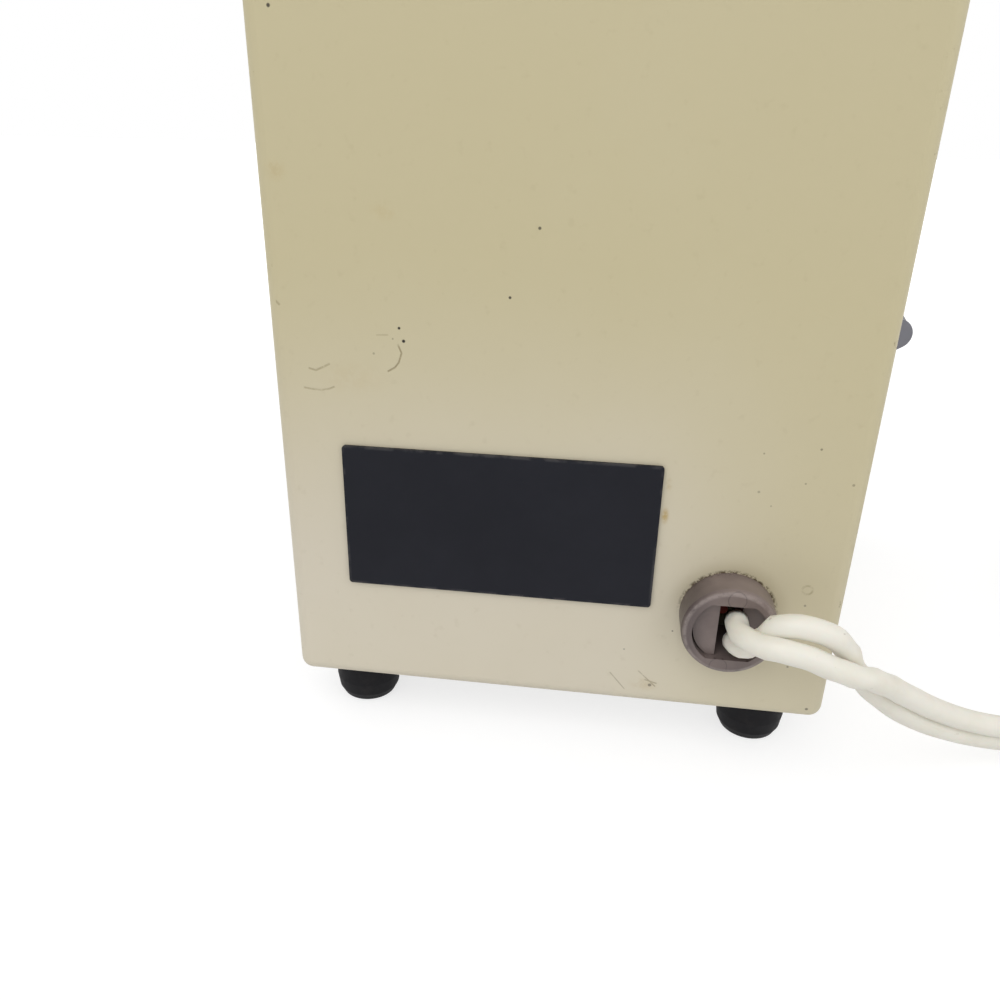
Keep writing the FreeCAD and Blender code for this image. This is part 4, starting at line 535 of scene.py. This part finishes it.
def skin(name, rings, closedEnds=True):
    # a mesh through rings of equally many points
    grid = bmesh.new()
    rows = [[grid.verts.new(point) for point in ring] for ring in rings]
    count = len(rows[0])
    for low, high in zip(rows, rows[1:]):
        for i in range(count):
            j = (i + 1) % count
            grid.faces.new((low[i], low[j], high[j], high[i]))
    if closedEnds:
        grid.faces.new(rows[0][::-1])
        grid.faces.new(rows[-1])
    bmesh.ops.recalc_face_normals(grid, faces=grid.faces)
    mesh = bpy.data.meshes.new(name)
    grid.to_mesh(mesh)
    grid.free()
    return mesh


# camera, as the photograph was taken

view = {
    "place": (-6.756 * mm, 189.625 * mm, 111.310 * mm),
    "lens": 30.867,
    "yaw": 7.3678,
    "pitch": 24.2646,
    "roll": 1.1339,
    "sensor": 36.0,
    "near": 0.01,
}


def makeCamera():
    yaw, pitch, roll = (math.radians(view[key]) for key in ("yaw", "pitch", "roll"))
    forward = Vector((math.sin(yaw) * math.cos(pitch), -math.cos(yaw) * math.cos(pitch), -math.sin(pitch)))
    level = forward.cross(Vector((0, 0, 1))).normalized()
    above = level.cross(forward)
    right = level * math.cos(roll) + above * math.sin(roll)
    up = above * math.cos(roll) - level * math.sin(roll)
    camera = bpy.data.objects.new("camera", bpy.data.cameras.new("camera"))
    camera.data.lens = view["lens"]
    camera.data.sensor_width = view["sensor"]
    camera.data.clip_start = view["near"]
    turn = Matrix((right, up, -forward)).transposed().to_4x4()
    camera.matrix_world = Matrix.Translation(Vector(view["place"])) @ turn
    scene.collection.objects.link(camera)
    scene.camera = camera


makeCamera()


# power cord

cord = {
    "width": 7.6,
    "lobe": 2.02,
    "inside": (-30.2, 55.0, 31.2),
    "exit": (-30.2, 60.3, 31.2),
    # how finely the line and each strand are cut, and the flattest side that is still trusted
    "detail": 6,
    "step": 1.5,
    "sides": 14,
    "flattest": 0.2,
    "air": [(-0.9, 5.3, 0), (-1.0, 8.4, 0.6), (-2.8, 11.8, 2.9), (-5.8, 14.6, 5.2), (-11, 14.8, 5.0),
            (-17.2, 12.8, 1.2), (-24, 9.6, -5.4), (-31.6, 5.8, -11.9), (-40.6, 1.2, -17.8),
            (-50.6, -3, -22.1), (-62.2, -7, -25.0)],
    "table": [(-105, 45.2, 3.95), (-128, 43.3, 3.8), (-152, 43, 3.8), (-172, 43, 3.8)],
    "coil": {"x": -172.0, "out": 56.0, "pitch": 9.6, "rise": 8.8, "halfTurns": 6, "steps": 8,
             "swell": 1.008, "tail": 42.0, "tailShares": (0.12, 0.4, 0.7, 1.0)},
    # along the cord in mm: turn of the pair in degrees, half the gap between the cores' middles
    "lay": [(0, 92, 1.78), (3, 80, 1.78), (7, 20, 1.78), (11, -34, 1.9), (16, -62, 2.25), (21, -64, 2.35),
            (26, -36, 2.1), (31, 16, 1.8), (37, 48, 1.78), (45, 66, 1.78), (56, 70, 1.78), (74, 72, 1.78),
            (100, 178, 1.78), (114, 180, 1.78)],
}


def coilPoints():
    # more points of the same cord: in on the table, up a layer, out again, then the tail to the plug
    coil = cord["coil"]
    table = cord["width"] / 2
    centre = Vector((coil["x"], cord["table"][-1][1] - coil["out"], 0))
    total = 2 * coil["halfTurns"]
    reach = [coil["out"]]
    for turn in range(1, total + 1):
        change = -1 if turn <= coil["halfTurns"] else (0 if turn == coil["halfTurns"] + 1 else 1)
        reach.append(reach[-1] + change * coil["pitch"] / 2)
    points = []
    for turn in range(total):
        side = 1 if turn % 2 == 0 else -1
        here, there = side * reach[turn], -side * reach[turn + 1]
        middle, half = (here + there) / 2, abs(here - there) / 2
        low = 0 if turn <= coil["halfTurns"] else coil["rise"]
        high = 0 if turn < coil["halfTurns"] else coil["rise"]
        for step in range(coil["steps"]):
            share = (step + 0.5) / coil["steps"]
            angle = math.pi * share
            out, along = math.sin(angle) * coil["swell"], math.cos(angle) * coil["swell"]
            points.append(centre + Vector((-side * half * out, middle + side * half * along,
                                           table + low + (high - low) * share)))
    endY = centre.y + reach[-1]
    top = table + coil["rise"]
    for share in coil["tailShares"]:
        points.append(Vector((coil["x"] - coil["tail"] * share, endY, top)))
    return points


def cordLine():
    # one smooth line with the route's points as its control points
    start = Vector(cord["inside"])
    points = [start + Vector(offset) for offset in cord["air"]]
    points += [Vector(point) for point in cord["table"][:-1]] + coilPoints()
    data = bpy.data.curves.new("cordLine", "CURVE")
    data.dimensions = "3D"
    data.resolution_u = cord["detail"]
    spline = data.splines.new("NURBS")
    spline.points.add(len(points) - 1)
    for target, point in zip(spline.points, points):
        target.co = (point.x * mm, point.y * mm, point.z * mm, 1.0)
    spline.order_u = 3
    spline.use_endpoint_u = True
    line = bpy.data.objects.new("cordLine", data)
    scene.collection.objects.link(line)
    mesh = bpy.data.meshes.new_from_object(line)
    path = [vertex.co.copy() for vertex in mesh.vertices]
    bpy.data.objects.remove(line)
    bpy.data.meshes.remove(mesh)
    return path


def evenly(path, step):
    # the same line at even distances, closer together than its own points
    out = [path[0]]
    left = step
    for here, there in zip(path, path[1:]):
        length = (there - here).length
        done = 0.0
        while length - done >= left:
            done += left
            out.append(here.lerp(there, done / length))
            left = step
        left -= length - done
    out.append(path[-1])
    return out


def smoothStep(table, where):
    for (a, *low), (b, *high) in zip(table, table[1:]):
        if where <= b:
            share = max(0.0, (where - a) / (b - a))
            share = share * share * (3 - 2 * share)
            return [x + (y - x) * share for x, y in zip(low, high)]
    return table[-1][1:]


def layCord():
    path = evenly(cordLine(), cord["step"] * mm)
    count = cord["sides"]
    material = cordFinish()
    shell = bmesh.new()
    strands = ([], [])
    walked = 0.0
    side = None
    for i, point in enumerate(path):
        if i:
            walked += (point - path[i - 1]).length / mm
        heading = (path[min(i + 1, len(path) - 1)] - path[max(i - 1, 0)]).normalized()
        level = heading.cross(Vector((0, 0, 1)))
        if level.length < cord["flattest"]:
            level = side or Vector((1, 0, 0))
        side = level.normalized()
        above = side.cross(heading)
        degrees, half = smoothStep(cord["lay"], walked)
        turn = math.radians(degrees)
        across = side * math.cos(turn) + above * math.sin(turn)
        for rows, sign in zip(strands, (1, -1)):
            middle = point + across * sign * half * mm
            rows.append([middle + (side * math.cos(a) + above * math.sin(a)) * cord["lobe"] * mm
                         for a in (math.tau * k / count for k in range(count))])
    for rows in strands:
        mesh = skin("strand", rows)
        shell.from_mesh(mesh)
        bpy.data.meshes.remove(mesh)
    joined = bpy.data.meshes.new("power_cord")
    shell.to_mesh(joined)
    shell.free()
    piece = newPiece("power_cord", joined, material, "root")
    length = sum((b - a).length for a, b in zip(path, path[1:]))
    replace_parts(piece, "power_cord_lead", "power_cord_coil")
    return piece, path, length


# half sizes in mm; the ribs and the rounded nose are given as shares of the length
plug = {"long": 27.0, "steps": 30, "sides": 40, "square": 0.55,
        "neckTall": 3.7, "neckThick": 3.0, "halfTall": 11.2, "halfThick": 6.1,
        "ribs": (0.25, 0.75), "ribDepth": 0.35, "ribRate": 2.6, "nose": 0.94, "noseShrink": 0.12}


def plugBody():
    # moulded plug: a waist behind a broad nose, with grip ribs on its flat sides
    end = Vector(coilPoints()[-1])
    rings = []
    for i in range(plug["steps"] + 1):
        share = i / plug["steps"]
        swell = share ** 0.8
        tall = plug["neckTall"] + (plug["halfTall"] - plug["neckTall"]) * min(1.0, 1.5 * swell) ** 1.2
        thick = plug["neckThick"] + (plug["halfThick"] - plug["neckThick"]) * min(1.0, 1.3 * swell)
        if plug["ribs"][0] < share < plug["ribs"][1]:
            wave = math.cos(share * plug["long"] * plug["ribRate"])
            thick -= plug["ribDepth"] * (0.5 + 0.5 * wave)
        if share > plug["nose"]:
            shrink = 1 - plug["noseShrink"] * ((share - plug["nose"]) / (1 - plug["nose"])) ** 2
            tall, thick = tall * shrink, thick * shrink
        ring = []
        for k in range(plug["sides"]):
            a = math.tau * k / plug["sides"]
            y = thick * math.copysign(abs(math.cos(a)) ** plug["square"], math.cos(a))
            z = tall * math.copysign(abs(math.sin(a)) ** plug["square"], math.sin(a))
            ring.append((end + Vector((-plug["long"] * share, y, z))) * mm)
        rings.append(ring)
    mesh = skin("mains_plug_body", rings)
    material = plastic("plugWhite", linear(238, 236, 226), 0.3, linear(218, 214, 198))
    piece = newPiece("mains_plug_body", mesh, material, "root")
    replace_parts(piece, "mains_plug")
    return piece


cordPiece, cordPath, cordLength = layCord()
plugPiece = plugBody()
print("cord laid, %.3f m" % cordLength)


# knurled ring and ribbed knob

# profile rows are radius and place along the axis in mm, and the share of the ribs' depth

focusRing = {
    "ribs": 40,
    "depth": 0.35,
    "profile": [(5.53, -2.0, 0), (7.4, -2.0, 0), (8.0, -1.4, 1), (8.0, 1.4, 1), (7.4, 2.0, 0),
                (6.6, 2.0, 0), (6.3, 1.6, 0), (5.53, 1.6, 0)],
}

# the axis runs towards the user, so its places count from the back of the knob
advanceKnob = {
    "ribs": 28,
    "depth": 0.5,
    "profile": [(1.53, -4.3, 0), (4.2, -4.3, 0), (4.2, -3.1, 0), (6.9, -2.7, 1), (7.0, -2.2, 1),
                (7.0, 3.1, 1), (6.2, 4.0, 0.3), (5.6, 4.3, 0), (4.6, 4.3, 0), (4.3, 3.9, 0),
                (0.02, 3.8, 0)],
}


def ribbedRing(name, shape, replaced, turn, material, body):
    # a turned profile whose outside carries ribs, in the place of a CAD piece
    low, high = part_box(replaced)
    middle = (low + high) / 2
    rib = (1.0, 0.35, 0.0, 0.35)
    count = shape["ribs"] * len(rib)
    rings = []
    for radius, along, share in shape["profile"]:
        ring = []
        for k in range(count):
            a = math.tau * k / count
            r = radius - shape["depth"] * share * (1 - rib[k % len(rib)])
            ring.append(middle + turn @ Vector((r * mm * math.cos(a), r * mm * math.sin(a), along * mm)))
        rings.append(ring)
    mesh = skin(name, rings + [rings[0]], closedEnds=False)
    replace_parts(newPiece(name, mesh, material, body), replaced)


def makeKnobs():
    black = turnedBlack()
    alongY = Matrix.Rotation(math.radians(90), 3, "X")
    ribbedRing("focus_ring_knurled", focusRing, "focus_ring", Matrix.Identity(3), black, "lens")
    ribbedRing("advance_knob_ribbed", advanceKnob, "advance_knob", alongY, black, "rotor")


makeKnobs()
print("knobs made")


# light, floor and background

# places and sizes of the lamps in metres
light = {
    "sky": 0.62,
    "aim": (0, 0, 0.07),
    "key": {"energy": 5.0, "size": 0.9, "place": (0.25, 0.75, 0.95)},
    "fill": {"energy": 2.2, "size": 1.0, "place": (-0.8, 0.4, 0.6)},
    "front": {"energy": 2.5, "size": 1.0, "place": (0.3, -0.9, 0.8)},
}


def makeLight():
    world = bpy.data.worlds.new("studio")
    world.use_nodes = True
    scene.world = world
    sky = Graph(world.node_tree, "Background")
    made = sky.add("ShaderNodeMapRange", {}, {"Value": sky.seen(), "To Min": light["sky"], "To Max": 1.0})
    sky.link(made.out("Result"), "Strength")
    sky.shader.inputs["Color"].default_value = (1.0, 1.0, 1.0, 1.0)
    for name in ("key", "fill", "front"):
        data = bpy.data.lights.new(name, "AREA")
        data.energy = light[name]["energy"]
        data.size = light[name]["size"]
        lamp = bpy.data.objects.new(name, data)
        place = Vector(light[name]["place"])
        aim = (Vector(light["aim"]) - place).to_track_quat("-Z", "Y")
        lamp.matrix_world = Matrix.Translation(place) @ aim.to_matrix().to_4x4()
        scene.collection.objects.link(lamp)


# metres; a faint shadow shows near the object and plain white from "whiteFrom" to "whiteTo"
ground = {"half": 3.0, "lit": 0.8, "seen": 0.36, "glow": 0.72, "whiteFrom": 0.2, "whiteTo": 0.6}


def makeFloor():
    grid = bmesh.new()
    bmesh.ops.create_grid(grid, x_segments=1, y_segments=1, size=ground["half"])
    mesh = bpy.data.meshes.new("floor")
    grid.to_mesh(mesh)
    grid.free()
    floor = bpy.data.objects.new("floor", mesh)
    scene.collection.objects.link(floor)
    finish = Finish("floorWhite", Roughness=0.9, Specular_IOR_Level=0.1, Emission_Strength=1.0)
    seen = finish.seen()
    away = (finish.x * finish.x + finish.y * finish.y) ** 0.5
    white = away.ramp(ground["whiteFrom"], ground["whiteTo"])
    glow = seen * (ground["glow"] + white * (1 - ground["glow"]))
    finish.link(finish.mix(seen, (ground["lit"],) * 3, (ground["seen"],) * 3), "Base Color")
    finish.link(finish.mix(glow, (0.0, 0.0, 0.0), (1.0, 1.0, 1.0)), "Emission Color")
    mesh.materials.append(finish.material)


makeLight()
makeFloor()
scene.view_settings.view_transform = "Standard"
print("light and floor set")
